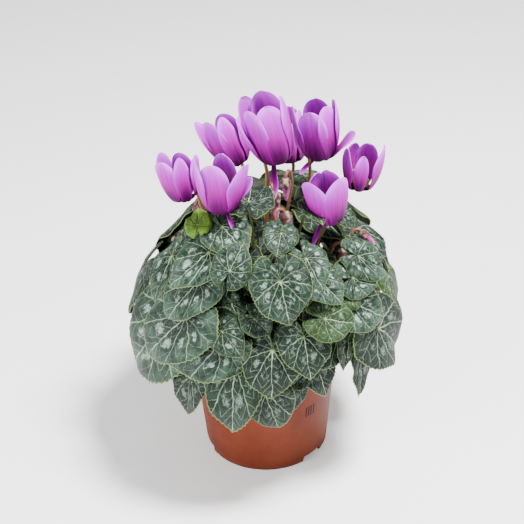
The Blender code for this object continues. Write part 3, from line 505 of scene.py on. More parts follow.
def lay_blades():
    """Lay the leaves in turn: the least lifts of joint and tip that clear every blade before.

    A sample's need is how far the blades under it reach out beyond it, plus the spacing. A blade is
    straight between its lifts, so a pair of lifts serves when its straight line meets every need."""
    shares, angles = np.linspace(0.12, 1, 8), np.radians(np.arange(-177, 180, 7.5))
    joint_lift, tip_lift = np.meshgrid(np.arange(*JOINT_LIFTS) * MM, np.arange(*TIP_LIFTS) * MM)
    pairs = np.column_stack([joint_lift.ravel(), tip_lift.ravel()])
    cost = pairs.sum(axis=1) + 0.4 * np.abs(pairs[:, 1] - pairs[:, 0] - 5 * MM)
    pairs = pairs[np.argsort(cost, kind="stable")]
    blades = []
    for row in LEAVES:
        depth = row[6] * MM
        usable = pairs[(pairs[:, 0] >= JOINT_REST - depth) & (pairs[:, 1] >= TIP_REST - depth)]
        pick = usable[0]
        for _ in range(LIFT_TRIES):
            blade = Blade(row, *pick)
            points = blade.points(shares, angles)
            part_way = ((points - blade.joint) @ blade.along / blade.length)[:, None]
            weights = np.hstack([1 - part_way, part_way])
            need = weights @ pick + overlap_need(points, blades)
            enough = np.all(usable @ weights.T >= need - 0.05 * MM, axis=1)
            pick = usable[int(np.argmax(enough))] if enough.any() else usable[-1]
        blades.append(Blade(row, *pick))
    return blades


def overlap_need(points, blades):
    """How much further from the canopy's centre each point has to be to clear the blades laid so far."""
    arms = points - CANOPY_CENTRE
    distance = np.linalg.norm(arms, axis=1)
    ways = arms / distance[:, None]
    need = np.full(len(points), -1.0)
    for blade in blades:
        reach, slope, covered = blade.reach_along(ways)
        lack = reach + BLADE_SPACING / slope - distance
        need = np.where(covered, np.maximum(need, lack), need)
    return need


def bezier(knots, count):
    """Points along a Bezier curve of any degree through its first and last knots."""
    along = np.linspace(0, 1, count)[:, None]
    degree = len(knots) - 1
    return sum(math.comb(degree, k) * along ** k * (1 - along) ** (degree - k) * knot
               for k, knot in enumerate(knots))


def crown_feet(ways):
    """Feet of the stalks on the tuber's crown: the steepest in the middle, then eased apart."""
    steep = np.argsort(np.argsort([-way[2] for way in ways]))
    ring = (TUBER_RADIUS - 4 * MM) * np.sqrt((steep + 0.5) / len(ways))
    flat = np.array([unit(way[:2] + 1e-6) for way in ways])
    spots = flat * ring[:, None]
    for _ in range(CROWN_TURNS):
        apart = spots[:, None] - spots[None]
        distance = np.linalg.norm(apart, axis=2) + np.eye(len(spots))
        push = np.clip(STALK_SPACING * 1.35 - distance, 0, None) / distance
        spots = spots + 0.3 * (apart * push[..., None]).sum(axis=1)
        size = np.linalg.norm(spots, axis=1, keepdims=True)
        spots = spots * np.minimum(1, (TUBER_RADIUS - 2 * MM) / size)
    drop = np.sqrt(1 - (spots ** 2).sum(axis=1) / TUBER_RADIUS ** 2)
    height = TUBER_MIDDLE + TUBER_HALF_HEIGHT * drop + CLEARANCE
    return np.column_stack([spots, height])


def crown_normal(foot):
    flat = foot[:2] / TUBER_RADIUS ** 2
    return unit(np.array([flat[0], flat[1], (foot[2] - TUBER_MIDDLE) / TUBER_HALF_HEIGHT ** 2]))


def ease_apart(lines, held, owners, blades):
    """Move the inner points of all lines until no two lines and no line and blade are too close.

    held is how many points at each line's end keep their place, owners the blade each line carries."""
    lines = lines.copy()
    count, points = lines.shape[:2]
    which = np.repeat(np.arange(count), points)
    free = np.ones((count, points, 1))
    free[:, :2] = 0
    for line, kept in enumerate(held):
        free[line, points - kept:] = 0
    near = None
    for turn in range(EASE_TURNS):
        flat = lines.reshape(-1, 3)
        if turn % 10 == 0:
            gram = flat @ flat.T
            size = np.diag(gram)
            square = size[:, None] + size[None] - 2 * gram
            near = np.nonzero(np.triu((square < (3 * STALK_SPACING) ** 2)
                                      & (which[:, None] != which[None])))
        apart = flat[near[0]] - flat[near[1]]
        distance = np.linalg.norm(apart, axis=1, keepdims=True) + 1e-9
        push = apart / distance * np.clip(STALK_SPACING * 1.15 - distance, 0, None) * 0.5
        shift = np.zeros_like(flat)
        np.add.at(shift, near[0], push)
        np.add.at(shift, near[1], -push)
        shift += blade_push(flat, which, owners, blades)
        inside = np.linalg.norm(flat[:, :2], axis=1)
        lack = POT_HEIGHT + STALK_ABOVE_RIM - flat[:, 2]
        shift[:, 2] += np.where((inside > RIM_BAND[0]) & (inside < RIM_BAND[1]) & (lack > 0), lack, 0)
        shift[:, 2] += np.clip(MIX_TOP + STALK_ABOVE_MIX - flat[:, 2], 0, None)
        lines += np.clip(shift, -2 * MM, 2 * MM).reshape(lines.shape) * free
        smooth = lines.copy()
        smooth[:, 1:-1] = (lines[:, :-2] + lines[:, 2:]) / 2
        lines += 0.25 * (smooth - lines) * free
    return lines


def blade_push(flat, which, owners, blades):
    """Sideways push, out past the nearest edge, on points that come too close to a blade."""
    shift = np.zeros_like(flat)
    for number, blade in enumerate(blades):
        x, y, z = blade.local(flat).T
        depth = blade.inside(x, y) + STALK_BLADE_GAP
        off = z - blade.rise(x, y)
        hit = (np.abs(off) < STALK_BLADE_GAP) & (depth > 0) & (owners[which] != number)
        out = unit(np.stack([x, y, 0 * x], axis=1) + 1e-9)[hit]
        away = out * np.clip(depth, 0, 3 * MM)[hit, None] * 0.5
        away[:, 2] += np.sign(off[hit]) * (STALK_BLADE_GAP - np.abs(off[hit])) * 0.5
        shift[hit] += away @ np.array([blade.along, blade.side, blade.face])
    return shift


def leaf_route(foot, blade):
    """First route of a leaf stalk: up from the crown, out under the canopy, down into its blade."""
    end = blade.joint - blade.face * 0.9 * MM - blade.along * 0.5 * MM
    droop = np.array([0, 0, -1]) + blade.face[2] * blade.face
    arrival = blade.face * 0.55 + droop * 0.83
    reach = np.linalg.norm(end - foot)
    start = foot + reach * 0.4 * unit(np.array([foot[0] * 12, foot[1] * 12, 1.0]))
    return bezier((foot, foot + crown_normal(foot) * 6 * MM, start, end - arrival * reach * 0.3, end),
                  STALK_POINTS)


class Flower:
    """Frame of a nodding flower: mouth of the corolla, axis up through the calyx, side of the stem."""

    def __init__(self, row):
        mouth, lean, stem_bearing, length = row
        self.mouth = np.array(mouth) * MM
        self.length = length * MM
        self.up = bearing(lean[0], 90 - lean[1])
        side = bearing(stem_bearing, 0)
        self.side = unit(side - np.dot(side, self.up) * self.up)
        self.across = np.cross(self.up, self.side)

    def place(self, outward, around, height):
        """World point at a distance from the axis, an angle from the stem's side and a height."""
        flat = np.cos(around)[..., None] * self.side + np.sin(around)[..., None] * self.across
        return self.mouth + outward[..., None] * flat + height[..., None] * self.up

    def hook(self):
        """Top of the stem: up beside the mouth, over in a tight bend and down into the calyx."""
        bend = np.linspace(math.pi, 0, 7)
        outward = np.concatenate([[2 * HOOK_RADIUS + 0.6 * MM], HOOK_RADIUS * (1 - np.cos(bend))])
        height = np.concatenate([[-2 * MM], HOOK_RISE + HOOK_RADIUS * np.sin(bend)])
        return self.place(outward, np.zeros(len(outward)), height)


class Bud:
    """Frame of a nodding bud: base of its calyx, way to its tip, and the hook that carries it."""

    def __init__(self, row):
        base, (azimuth, height), length, hook_bearing = row
        self.base = np.array(base) * MM
        self.way = bearing(azimuth, height)
        self.length = length * MM
        side = bearing(hook_bearing, 0)
        self.side = unit(side - np.dot(side, self.way) * self.way)

    def hook(self):
        """Top of the stem: a half circle that ends in the calyx, heading along the bud."""
        bend = np.linspace(math.pi, 0, 7)[:, None]
        return (self.base + BUD_HOOK_RADIUS * (1 - np.cos(bend)) * self.side
                + (0.3 * MM - BUD_HOOK_RADIUS * np.sin(bend)) * self.way)


def stem_route(foot, hook):
    """First route of a flower or bud stem: straight up from the crown and into its hook."""
    start = hook[0]
    rise = start[2] - foot[2]
    below = start - unit(hook[1] - hook[0]) * rise * 0.3
    return np.concatenate([bezier((foot, foot + crown_normal(foot) * rise * 0.3, below, start),
                                  STALK_POINTS - len(hook) + 1)[:-1], hook])


def route_stalks(blades, flowers, buds):
    """Centre lines of every leaf stalk, flower stem and bud stem, in that order."""
    hooks = [flower.hook() for flower in flowers] + [bud.hook() for bud in buds]
    aims = [blade.joint for blade in blades] + [hook[0] + [0, 0, 60 * MM] for hook in hooks]
    feet = crown_feet([unit(aim - CANOPY_CENTRE) for aim in aims])
    lines = [leaf_route(foot, blade) for foot, blade in zip(feet, blades)]
    lines += [stem_route(foot, hook) for foot, hook in zip(feet[len(blades):], hooks)]
    held = [2] * len(blades) + [len(hook) + 1 for hook in hooks]
    owners = np.array(list(range(len(blades))) + [-1] * len(hooks))
    return ease_apart(np.array(lines), held, owners, blades)


def vein_distance(u, v):
    """Distance to the nearest main vein, as a share of the blade's length.

    The veins fan out from the joint at multiples of VEIN_STEP and bow towards the tip."""
    share = np.hypot(u, v)
    fan = np.arctan2(np.abs(v), u) * (1 + VEIN_BOW * share)
    off = np.abs((fan / VEIN_STEP + 0.5) % 1 - 0.5) * VEIN_STEP
    return share * np.sin(np.minimum(off, 1.5))


def blade_mesh(name, blade, silver, tone, seed, rings=19, columns=208):
    """Leaf blade on a polar grid: rings from the joint to the edge, columns by angle.

    reach(share, angle) = share * heart(angle) * (1 + teeth), laid on the blade's arch; the veins sink
    by a bell curve of their distance, the fields between swell, and the margin waves and turns down."""
    random = np.random.default_rng(seed)
    share = (np.linspace(0, 1, rings) ** 0.85)[:, None]
    angle = np.linspace(math.pi, -math.pi, columns, endpoint=False)[None]
    spin = random.uniform(0, 6.28, 4)
    tooth = (TEETH * angle / (2 * math.pi) + spin[0]) % 1
    teeth = 0.055 * np.abs(tooth - 0.3) * (1 - np.exp(-((math.pi - np.abs(angle)) / 0.25) ** 2))
    bulge = 1 + 0.020 * np.sin(3 * angle + spin[1]) + 0.014 * np.sin(7 * angle + spin[2])
    reach = blade.length * share * heart_outline(angle) * np.where(share > 0.4, bulge, 1)
    reach = reach * (1 + teeth * share ** 8)
    x, y = reach * np.cos(angle), reach * np.sin(angle)
    u, v = x / blade.length, y / blade.length
    x, y = np.where(x < 0, x * blade.width, x), y * blade.width
    near = vein_distance(u, v)
    groove = -0.35 * MM * np.exp(-(near / 0.02) ** 2) * (share > 0) * (1 - share ** 4)
    side_way = (np.hypot(u, v) * BRANCH_OUT - near * BRANCH_IN) % 1
    swell = 0.22 * MM * np.sin(math.pi * side_way) * np.clip(near / 0.08, 0, 1) * (1 - share ** 3)
    fold = random.uniform(0.22, 0.44) * np.clip(u * 1.5, -0.3, 1) * (
        np.sqrt(v ** 2 + 0.0006) * blade.length * blade.width - 3.5 * MM)
    wave = (random.uniform(0.5, 1.3) * MM * np.sin(random.integers(3, 6) * angle + spin[3]) * share ** 3
            + 0.4 * MM * np.sin(11 * angle + spin[1]) * share ** 5)
    curl = random.uniform(-1.5, 2.5) * MM * np.clip(u, 0, 1) ** 4
    lip = -1.3 * MM * np.clip((share - 0.84) / 0.16, 0, 1) ** 2
    z = blade.rise(x, y) + groove + swell + fold + wave + curl + lip
    flat = np.stack([x, y, z], axis=-1)
    points = blade.joint + flat @ np.array([blade.along, blade.side, blade.face])
    mesh = sheet_mesh(name, points, wrap=True)
    for label, values in (("share", share + 0 * angle), ("silver", np.full_like(u, silver)),
                          ("tone", np.full_like(u, tone)), ("seed", np.full_like(u, seed * 0.37 % 7))):
        layer = mesh.attributes.new(label, "FLOAT", "POINT")
        layer.data.foreach_set("value", values.astype(np.float32).ravel())
    set_uv(mesh, u.ravel(), v.ravel())
    return weld(mesh)


def set_uv(mesh, u, v):
    """UV map "flat" from one pair of coordinates for each point."""
    corner = np.empty(len(mesh.loops), np.int32)
    mesh.loops.foreach_get("vertex_index", corner)
    layer = mesh.uv_layers.new(name="flat")
    layer.data.foreach_set("uv", np.column_stack([u[corner], v[corner]]).astype(np.float32).ravel())


def leaf_top_finish():
    """Cyclamen leaf, upper side: waxy dark green, silver marbling between and along the veins, a dark
    centre, a grey-green haze towards the edge and tip that is partly silvering and partly painted sheen,
    and a thin yellow-green margin."""
    finish = new_finish("waxy leaf, upper side", Specular_IOR_Level=0.16)
    node = partial(add_node, finish)
    share, silver, tone, seed = (node("Attribute", output="Fac", attribute_name=name)
                                 for name in ("share", "silver", "tone", "seed"))
    flat = node("UVMap", uv_map="flat")
    place = node("VectorMath", (flat, node("CombineXYZ", (seed, seed, seed))), operation="ADD")

    # veins as in vein_distance, on coordinates that a slow noise bends
    wobble = node("TexNoise", {"Vector": place, "Scale": 5.0, "Detail": 3.0}, "Color")
    bend = node("VectorMath", (wobble, (0.5, 0.5, 0.5)), operation="SUBTRACT")
    bend = node("VectorMath", {0: bend, "Scale": 0.11}, operation="SCALE")
    bent = node("VectorMath", (flat, bend), operation="ADD")
    along = node("SeparateXYZ", (bent,), "X")
    across = node("Math", (node("SeparateXYZ", (bent,), "Y"),), operation="ABSOLUTE")
    radius = node("VectorMath", (bent,), "Value", operation="LENGTH")
    fan = node("Math", (across, along), operation="ARCTAN2")
    fan = node("Math", (fan, node("Math", (radius, VEIN_BOW, 1.0), operation="MULTIPLY_ADD")), **TIMES)
    off = node("Math", (fan, VEIN_STEP / 2), operation="PINGPONG")
    near = node("Math", (radius, node("Math", (off,), operation="SINE")), **TIMES)
    main_vein = node("Math", (node("MapRange", (near, 0.003, 0.013, 1.0, 0.0), **SMOOTH),
                              node("MapRange", (fan, 1.0, 2.6, 1.0, 0.35), **SMOOTH)), **TIMES)
    rib = node("Math", (radius, BRANCH_OUT, node("Math", (near, -BRANCH_IN), **TIMES)),
               operation="MULTIPLY_ADD")
    branch = node("MapRange", (node("Math", (rib, 0.5), operation="PINGPONG"), 0.05, 0.005), **SMOOTH)
    net = node("TexVoronoi", {"Vector": place, "Scale": 21.0}, feature="DISTANCE_TO_EDGE")
    lines = node("Math", (main_vein, node("Math", (branch, 0.62), **TIMES)), operation="MAXIMUM")
    lines = node("Math", (lines, node("MapRange", (net, 0.0, 0.09, 0.09, 0.0), **SMOOTH)),
                 operation="MAXIMUM")
    cloud = node("TexNoise", {"Vector": place, "Scale": 6.0, "Detail": 6.0, "Roughness": 0.62})
    lines = node("Math", (lines, node("MapRange", (cloud, 0.34, 0.58, 0.4, 1.0), **SMOOTH)), **TIMES)
    lines = node("Math", (lines, node("MapRange", (share, 1.0, 0.9, 0.25, 1.0), **SMOOTH)), **TIMES)

    # silver islands lie half way out between the main veins, broken by flecks, a cloud and the net
    polar = node("CombineXYZ", (node("Math", (fan, 2.2), **TIMES), node("Math", (radius, 4.5), **TIMES),
                                seed))
    fleck = node("TexNoise", {"Vector": polar, "Scale": 2.6, "Detail": 6.0, "Roughness": 0.8,
                              "Distortion": 1.4})
    ring = node("Math", (node("MapRange", (share, 0.30, 0.50), **SMOOTH),
                         node("MapRange", (share, 0.80, 0.60), **SMOOTH)), **TIMES)
    island = node("Math", (ring, node("MapRange", (near, 0.02, 0.10, 0.0, 0.22), **SMOOTH)), **TIMES)
    patch = node("Math", (fleck, 0.55, island), operation="MULTIPLY_ADD")
    patch = node("Math", (cloud, 0.45, patch), operation="MULTIPLY_ADD")
    patch = node("Math", (node("MapRange", (patch, 0.675, 0.77), **SMOOTH),
                          node("MapRange", (net, 0.03, 0.12, 0.45, 1.0), **SMOOTH)), **TIMES)
    patch = node("Math", (patch, node("MapRange", (share, 0.97, 0.85), **SMOOTH)), **TIMES)
    patch = node("Math", (patch, node("MapRange", (silver, 0.2, 0.85, 0.22, 0.8), **SMOOTH)), **TIMES)

    # a grey-green haze gathers towards the edge and the tip, partly the leaf's own silvering and partly
    # painted sheen; the middle stays dark
    silvering_and_sheen = node("Math", (node("MapRange", (cloud, 0.34, 0.64), **SMOOTH),
                         node("MapRange", (share, 0.22, 0.8), **SMOOTH),
                         node("MapRange", (along, 0.5, 1.0, 0.0, 0.7), **SMOOTH)), operation="MULTIPLY_ADD")
    silvering_and_sheen = node("Math", (silvering_and_sheen, node("MapRange", (silver, 0.25, 0.95, 0.03, 0.60), **SMOOTH)), **TIMES)
    bright = node("MapRange", (tone, 0.2, 1.0), **SMOOTH)
    some_bright = node("MapRange", (tone, 0.2, 1.0, 0.0, 0.6), **SMOOTH)
    # tones under zero darken the blade: each leaf's own darker green, and painted shade on the young leaves
    # inside the canopy
    dark = node("MapRange", (tone, -0.1, -0.7, 0.0, 0.55), **SMOOTH)
    silver_colour = node("Mix", {0: some_bright, 6: "#A6BAAF", 7: "#9DC27E"}, **COLOUR_MIX)
    vein_colour = node("Mix", {0: bright, 6: "#B4C8AC", 7: "#A8C878"}, **COLOUR_MIX)
    vein_strength = node("Math", (lines, node("MapRange", (fan, 0.12, 0.5, 0.85, 0.52), **SMOOTH)), **TIMES)
    colour = "#06170D"
    for factor, over in ((node("MapRange", (cloud, 0.35, 0.65), **SMOOTH), "#0C2415"), (dark, "#06120C"),
                         (bright, "#4A6A16"),
                         (node("MapRange", (share, 0.5, 0.1, 0.0, 0.5), **SMOOTH), "#0A1C12"),
                         (silvering_and_sheen, "#3E5648"), (patch, silver_colour), (vein_strength, vein_colour),
                         (node("MapRange", (share, 0.09, 0.0, 0.0, 0.8), **SMOOTH), "#8FA33C"),
                         (node("MapRange", (share, 0.97, 0.995, 0.0, 0.55), **SMOOTH), "#8FA65A")):
        colour = node("Mix", {0: factor, 6: colour, 7: over}, **COLOUR_MIX)
    sunk = node("Math", (node("Math", (main_vein, branch), operation="MAXIMUM"), -0.8), **TIMES)
    height = node("Math", (net, 2.0, sunk), operation="MULTIPLY_ADD")
    plug(finish, {"Base Color": colour,
                  "Roughness": node("Math", (cloud, 0.2, 0.50), operation="MULTIPLY_ADD"),
                  "Normal": node("Bump", {"Height": height, "Strength": 0.2, "Distance": 0.0005})})
    return finish


def leaf_back_finish():
    """Cyclamen leaf, underside: duller green flushed with purple, matt."""
    finish = new_finish("leaf underside", Roughness=0.62, Specular_IOR_Level=0.3)
    node = partial(add_node, finish)
    cloud = node("TexNoise", {"Vector": node("UVMap", uv_map="flat"), "Scale": 8.0, "Detail": 5.0})
    flush = node("MapRange", (cloud, 0.42, 0.7, 0.0, 0.35), **SMOOTH)
    young = node("MapRange", (node("Attribute", output="Fac", attribute_name="tone"), 0.4, 1.1), **SMOOTH)
    colour = node("Mix", {0: flush, 6: "#4E6638", 7: "#5E4048"}, **COLOUR_MIX)
    plug(finish, {"Base Color": node("Mix", {0: young, 6: colour, 7: "#93B258"}, **COLOUR_MIX)})
    return finish


def stalk_finish(name, lower, upper, low, high):
    """Fleshy stem skin: one colour below, another above, with fine lengthwise mottling."""
    finish = new_finish(name, Roughness=0.4, Specular_IOR_Level=0.4, Subsurface_Weight=0.08,
                        Subsurface_Radius=(0.002, 0.001, 0.0005))
    node = partial(add_node, finish)
    where = node("TexCoord", output="Object")
    height = node("MapRange", (node("SeparateXYZ", (where,), "Z"), low, high), **SMOOTH)
    grain = node("TexNoise", {"Vector": where, "Scale": 420.0, "Detail": 3.0})
    mottle = node("MapRange", (grain, 0.35, 0.75, 0.0, 0.4), **SMOOTH)
    colour = node("Mix", {0: height, 6: lower, 7: upper}, **COLOUR_MIX)
    plug(finish, {"Base Color": node("Mix", {0: mottle, 6: colour, 7: "#55301F"}, **COLOUR_MIX),
                  "Normal": node("Bump", {"Height": grain, "Strength": 0.15, "Distance": 0.0003})})
    return finish


def smooth_line(line, count):
    """Catmull-Rom curve through a line's points, at even steps of its parameter."""
    ends = np.vstack([2 * line[0] - line[1], line, 2 * line[-1] - line[-2]])
    along = np.linspace(0, len(line) - 1 - 1e-9, count)
    k = along.astype(int)
    t = (along - k)[:, None]
    a, b, c, d = (ends[k + offset] for offset in range(4))
    return 0.5 * (2 * b + (c - a) * t + (2 * a - 5 * b + 4 * c - d) * t ** 2
                  + (3 * b - a - 3 * c + d) * t ** 3)


def tube_mesh(name, line, radius, sides=14):
    """Tube round a line: a frame carried along it without twist, radius by ring; both ends closed."""
    ahead = unit(np.gradient(line, axis=0))
    normal = np.empty_like(line)
    normal[0] = unit(np.cross(ahead[0], [0.31, 0.77, 0.55]))
    for k in range(1, len(line)):
        normal[k] = unit(normal[k - 1] - np.dot(normal[k - 1], ahead[k]) * ahead[k])
    across = np.cross(ahead, normal)
    angle = full_turn(sides)[None, :, None]
    rings = line[:, None] + np.asarray(radius)[:, None, None] * (
        np.cos(angle) * normal[:, None] + np.sin(angle) * across[:, None])
    caps = [np.broadcast_to(line[k], (1, sides, 3)) for k in (0, -1)]
    return weld(sheet_mesh(name, np.concatenate([caps[0], rings, caps[1]]), wrap=True))


def thicken(piece, thickness, offset=0, other_finish=0):
    """Give a sheet its thickness, centred on it or, with an offset of -1, all below it."""
    skin = piece.modifiers.new("Thickness", "SOLIDIFY")
    skin.thickness, skin.offset, skin.material_offset = thickness, offset, other_finish


def add_leaf(label, blade_sheet, path, radius, sides=14, stands_for=()):
    """Add a blade, its underside and rim in their own finish, and its stalk."""
    blade_piece = add_piece(label + "_blade", blade_sheet, [leaf_top, leaf_back], stands_for)
    thicken(blade_piece, BLADE_THICKNESS, -1, 1)
    stalk = tube_mesh(label + "_stalk", path, radius, sides)
    add_piece(label + "_stalk", stalk, [leaf_stalk], stands_for)


blades = lay_blades()
flowers = [Flower(row) for row in FLOWERS]
buds = [Bud(row) for row in BUDS]
lines = route_stalks(blades, flowers, buds)
leaf_top, leaf_back = leaf_top_finish(), leaf_back_finish()
leaf_stalk = stalk_finish("leaf stalk skin", "#5E2E26", "#5A6A34", 0.10, 0.17)
solid = 0
for number, (row, blade, line) in enumerate(zip(LEAVES, blades, lines), 1):
    is_solid, silver, tone = row[7:]
    solid += is_solid
    if silver is None:           # its room is kept for the buds
        continue
    label = f"leaf_{solid:02d}" if is_solid else f"small_leaf_{number:02d}"
    path = smooth_line(line, 70)
    add_leaf(label, blade_mesh(label, blade, silver, tone, number), path,
             np.linspace(*STALK_RADII, len(path)), stands_for=[label] if is_solid else [])

# Young leaves inside the canopy, on short stalks, darker as painted shade of the canopy over them. Rows as
# above, but one depth under the dome (mm) for joint and tip, then silver and tone.
YOUNG = (
    (-150, 62, -128, 42, 0.9, 0, 22, 0.3, -0.6), (170, 66, 176, 46, 0.9, 0, 20, 0.3, -0.6),
    (135, 62, 118, 44, 0.9, 0, 22, 0.3, -0.6), (100, 62, 96, 42, 0.9, 0, 20, 0.3, -0.5),
    (-100, 58, -92, 38, 0.9, 0, 20, 0.4, -0.4), (-70, 66, -88, 52, 0.8, 0, 20, 0.4, -0.3),
    (-110, 30, -104, 10, 0.9, 0, 16, 0.4, -0.4), (-72, 40, -74, 18, 0.9, 0, 16, 0.4, -0.5),
    (0, 62, 6, 42, 0.9, 0, 26, 0.3, -0.7), (-30, 30, -26, 8, 0.9, 0, 26, 0.3, -0.7),
    (30, 50, 34, 28, 0.9, 0, 26, 0.3, -0.7), (70, 44, 74, 22, 0.9, 0, 22, 0.3, -0.6),
    (2, 30, 4, 8, 0.9, 0, 26, 0.3, -0.7), (40, 28, 42, 6, 0.9, 0, 26, 0.3, -0.7),
    (-64, 16, -66, -6, 0.9, 0, 22, 0.3, -0.7), (78, 14, 76, -8, 0.9, 0, 22, 0.3, -0.7),
    (180, 84, 165, 66, 0.8, 0, 24, 0.3, -0.7), (60, 78, 80, 60, 0.8, 0, 26, 0.3, -0.7),
    (-96, 52, -98, 30, 1.0, 0, 16, 0.4, -0.3), (-84, 60, -94, 44, 1.0, 0, 18, 0.4, -0.4),
    (-120, 46, -116, 26, 1.0, 0, 10, 0.3, -0.4), (-60, 80, -40, 62, 0.8, 0, 28, 0.3, -0.7),
    (-30, 55, -36, 34, 0.9, 0, 24, 0.3, -0.7),
)

for number, row in enumerate(YOUNG, 1):
    blade = Blade(row, -row[6] * MM, -row[6] * MM)
    label = f"young_leaf_{number:02d}"
    foot = np.array([*(unit(blade.joint[:2]) * TUBER_RADIUS * 0.5), TUBER_MIDDLE + TUBER_HALF_HEIGHT * 0.86])
    end = blade.joint - blade.face * 0.6 * MM
    bowed = foot + [0, 0, 0.6 * np.linalg.norm(end - foot)]
    add_leaf(label, blade_mesh(label, blade, row[7], row[8], 80 + number, rings=14, columns=130),
             bezier((foot, bowed, end), 30), np.full(30, 0.9 * MM), sides=10)


# Flower stems: round, fleshy and upright, orange-brown, darker below. Each hooks over at the top and
# ends in a calyx of five small sepals that clasps the corolla's tube.

def calyx_mesh(name, flower, sepals=5):
    """Cup over the bell's top whose rim is cut into pointed lobes.

    Rows run from the stem down the lobes; a lobe's length follows |cos| of the angle, to a power."""
    angle = full_turn(90)[None]
    share = np.linspace(0, 1, 14)[:, None]
    lobe = np.abs(np.cos(sepals * angle / 2)) ** 0.8
    height = (9.4 - share * (3.2 + 3.6 * lobe * share)) * MM
    radius = np.interp(share, [0, 0.15, 0.5, 1], [0.0, 2.4, 5.3, 6.2]) * MM + 0.35 * MM * share ** 2 * lobe
    points = flower.place(radius + 0 * angle, angle + 0 * share, height)
    return weld(sheet_mesh(name, points[::-1], wrap=True))


calyx_skin = stalk_finish("calyx skin", "#6E4A34", "#7A5A3A", 0.10, 0.25)
stem_skin = stalk_finish("flower stem skin", "#4A2A1C", "#845826", 0.12, 0.24)
for number, (flower, line) in enumerate(zip(flowers, lines[len(blades):]), 1):
    name = f"flower_{number}_stem"
    path = smooth_line(line, 110)
    radius = np.interp(np.linspace(0, 1, len(path)), [0, 0.8, 1], [1.45 * MM, 1.2 * MM, 1.1 * MM])
    add_piece(name + "_skin", tube_mesh(name, path, radius), [stem_skin], [name])
    cup = calyx_mesh(f"flower_{number}_calyx", flower)
    thicken(add_piece(f"flower_{number}_calyx", cup, [calyx_skin], [name]), 0.4 * MM)


# Corollas: a short bell, open below, whose petals fold back from the mouth and stand up like the feathers
# of a shuttlecock. They are thin and soft, deep magenta at the base and lilac at the tips; their paler edges
# are partly their own lilac and partly painted light shining through them.

# Petals of each flower: bearing round the axis from the front towards +X, spread from the axis, length
# share, width share, twist over its length, curl at the tip (all angles in degrees)
PETALS = (
    ((-115, 12, 0.98, 0.95, 0, 6), (-45, 13, 0.96, 1.0, 10, 2), (20, 9, 1.0, 0.62, 30, 0),
     (82, 16, 0.92, 0.85, -12, 2), (160, 6, 0.9, 0.9, 0, 0)),
    ((-80, 12, 1.0, 0.95, 0, 0), (-12, 8, 0.96, 0.95, 0, 2), (62, 25, 0.95, 1.08, -8, 4),
     (150, 10, 0.9, 0.9, 0, 0), (92, 36, 0.62, 0.7, 20, 0), (35, 152, 0.32, 0.4, 0, 0)),
    ((-100, 20, 0.98, 0.95, 0, 4), (-45, 10, 1.0, 0.95, 0, 0), (18, 8, 1.0, 0.62, 35, 0),
     (80, 16, 0.86, 0.8, -10, 0), (120, 22, 0.7, 0.7, 0, 0), (165, 4, 0.9, 0.9, 0, 0)),
    ((-120, 11, 1.02, 0.85, 0, 4), (-50, 9, 0.92, 0.9, 0, 2), (-82, 22, 0.82, 0.8, 10, 0),
     (18, 7, 0.94, 0.85, 0, 0), (88, 11, 0.96, 0.7, -10, 2), (165, 6, 1.02, 0.9, 0, 0),
     (-30, 156, 0.48, 0.5, 25, -34)),
    ((-85, 14, 1.04, 0.8, 0, 0), (-20, 8, 0.96, 0.95, 0, 2), (45, 8, 1.0, 0.8, 0, 2),
     (95, 14, 1.02, 0.8, 0, 0), (74, 46, 0.62, 1.1, 10, 4), (170, 6, 1.0, 0.9, 0, 0),
     (-60, 108, 0.34, 0.6, 0, 30)),
    ((-90, 14, 1.0, 0.85, 0, 4), (-15, 8, 0.95, 0.9, 0, 0), (70, 10, 1.0, 0.9, 0, 0),
     (160, 10, 1.0, 0.9, 0, 0), (-78, 50, 0.55, 0.7, 0, 0)),
    ((-46, 14, 0.98, 1.1, 0, 2), (40, 14, 1.0, 1.12, 0, 4), (-4, 19, 0.7, 0.4, 25, -6),
     (150, 5, 0.92, 0.9, 0, 0), (-140, 6, 0.9, 0.9, 0, 0), (-62, 142, 0.56, 0.55, 40, 24)),
    ((-70, 15, 0.92, 0.8, 0, 0), (-5, 8, 0.82, 0.6, 30, 2), (72, 15, 1.05, 1.0, 0, 2),
     (150, 8, 0.9, 0.9, 0, 0), (-140, 10, 0.9, 0.8, 0, 0)),
)


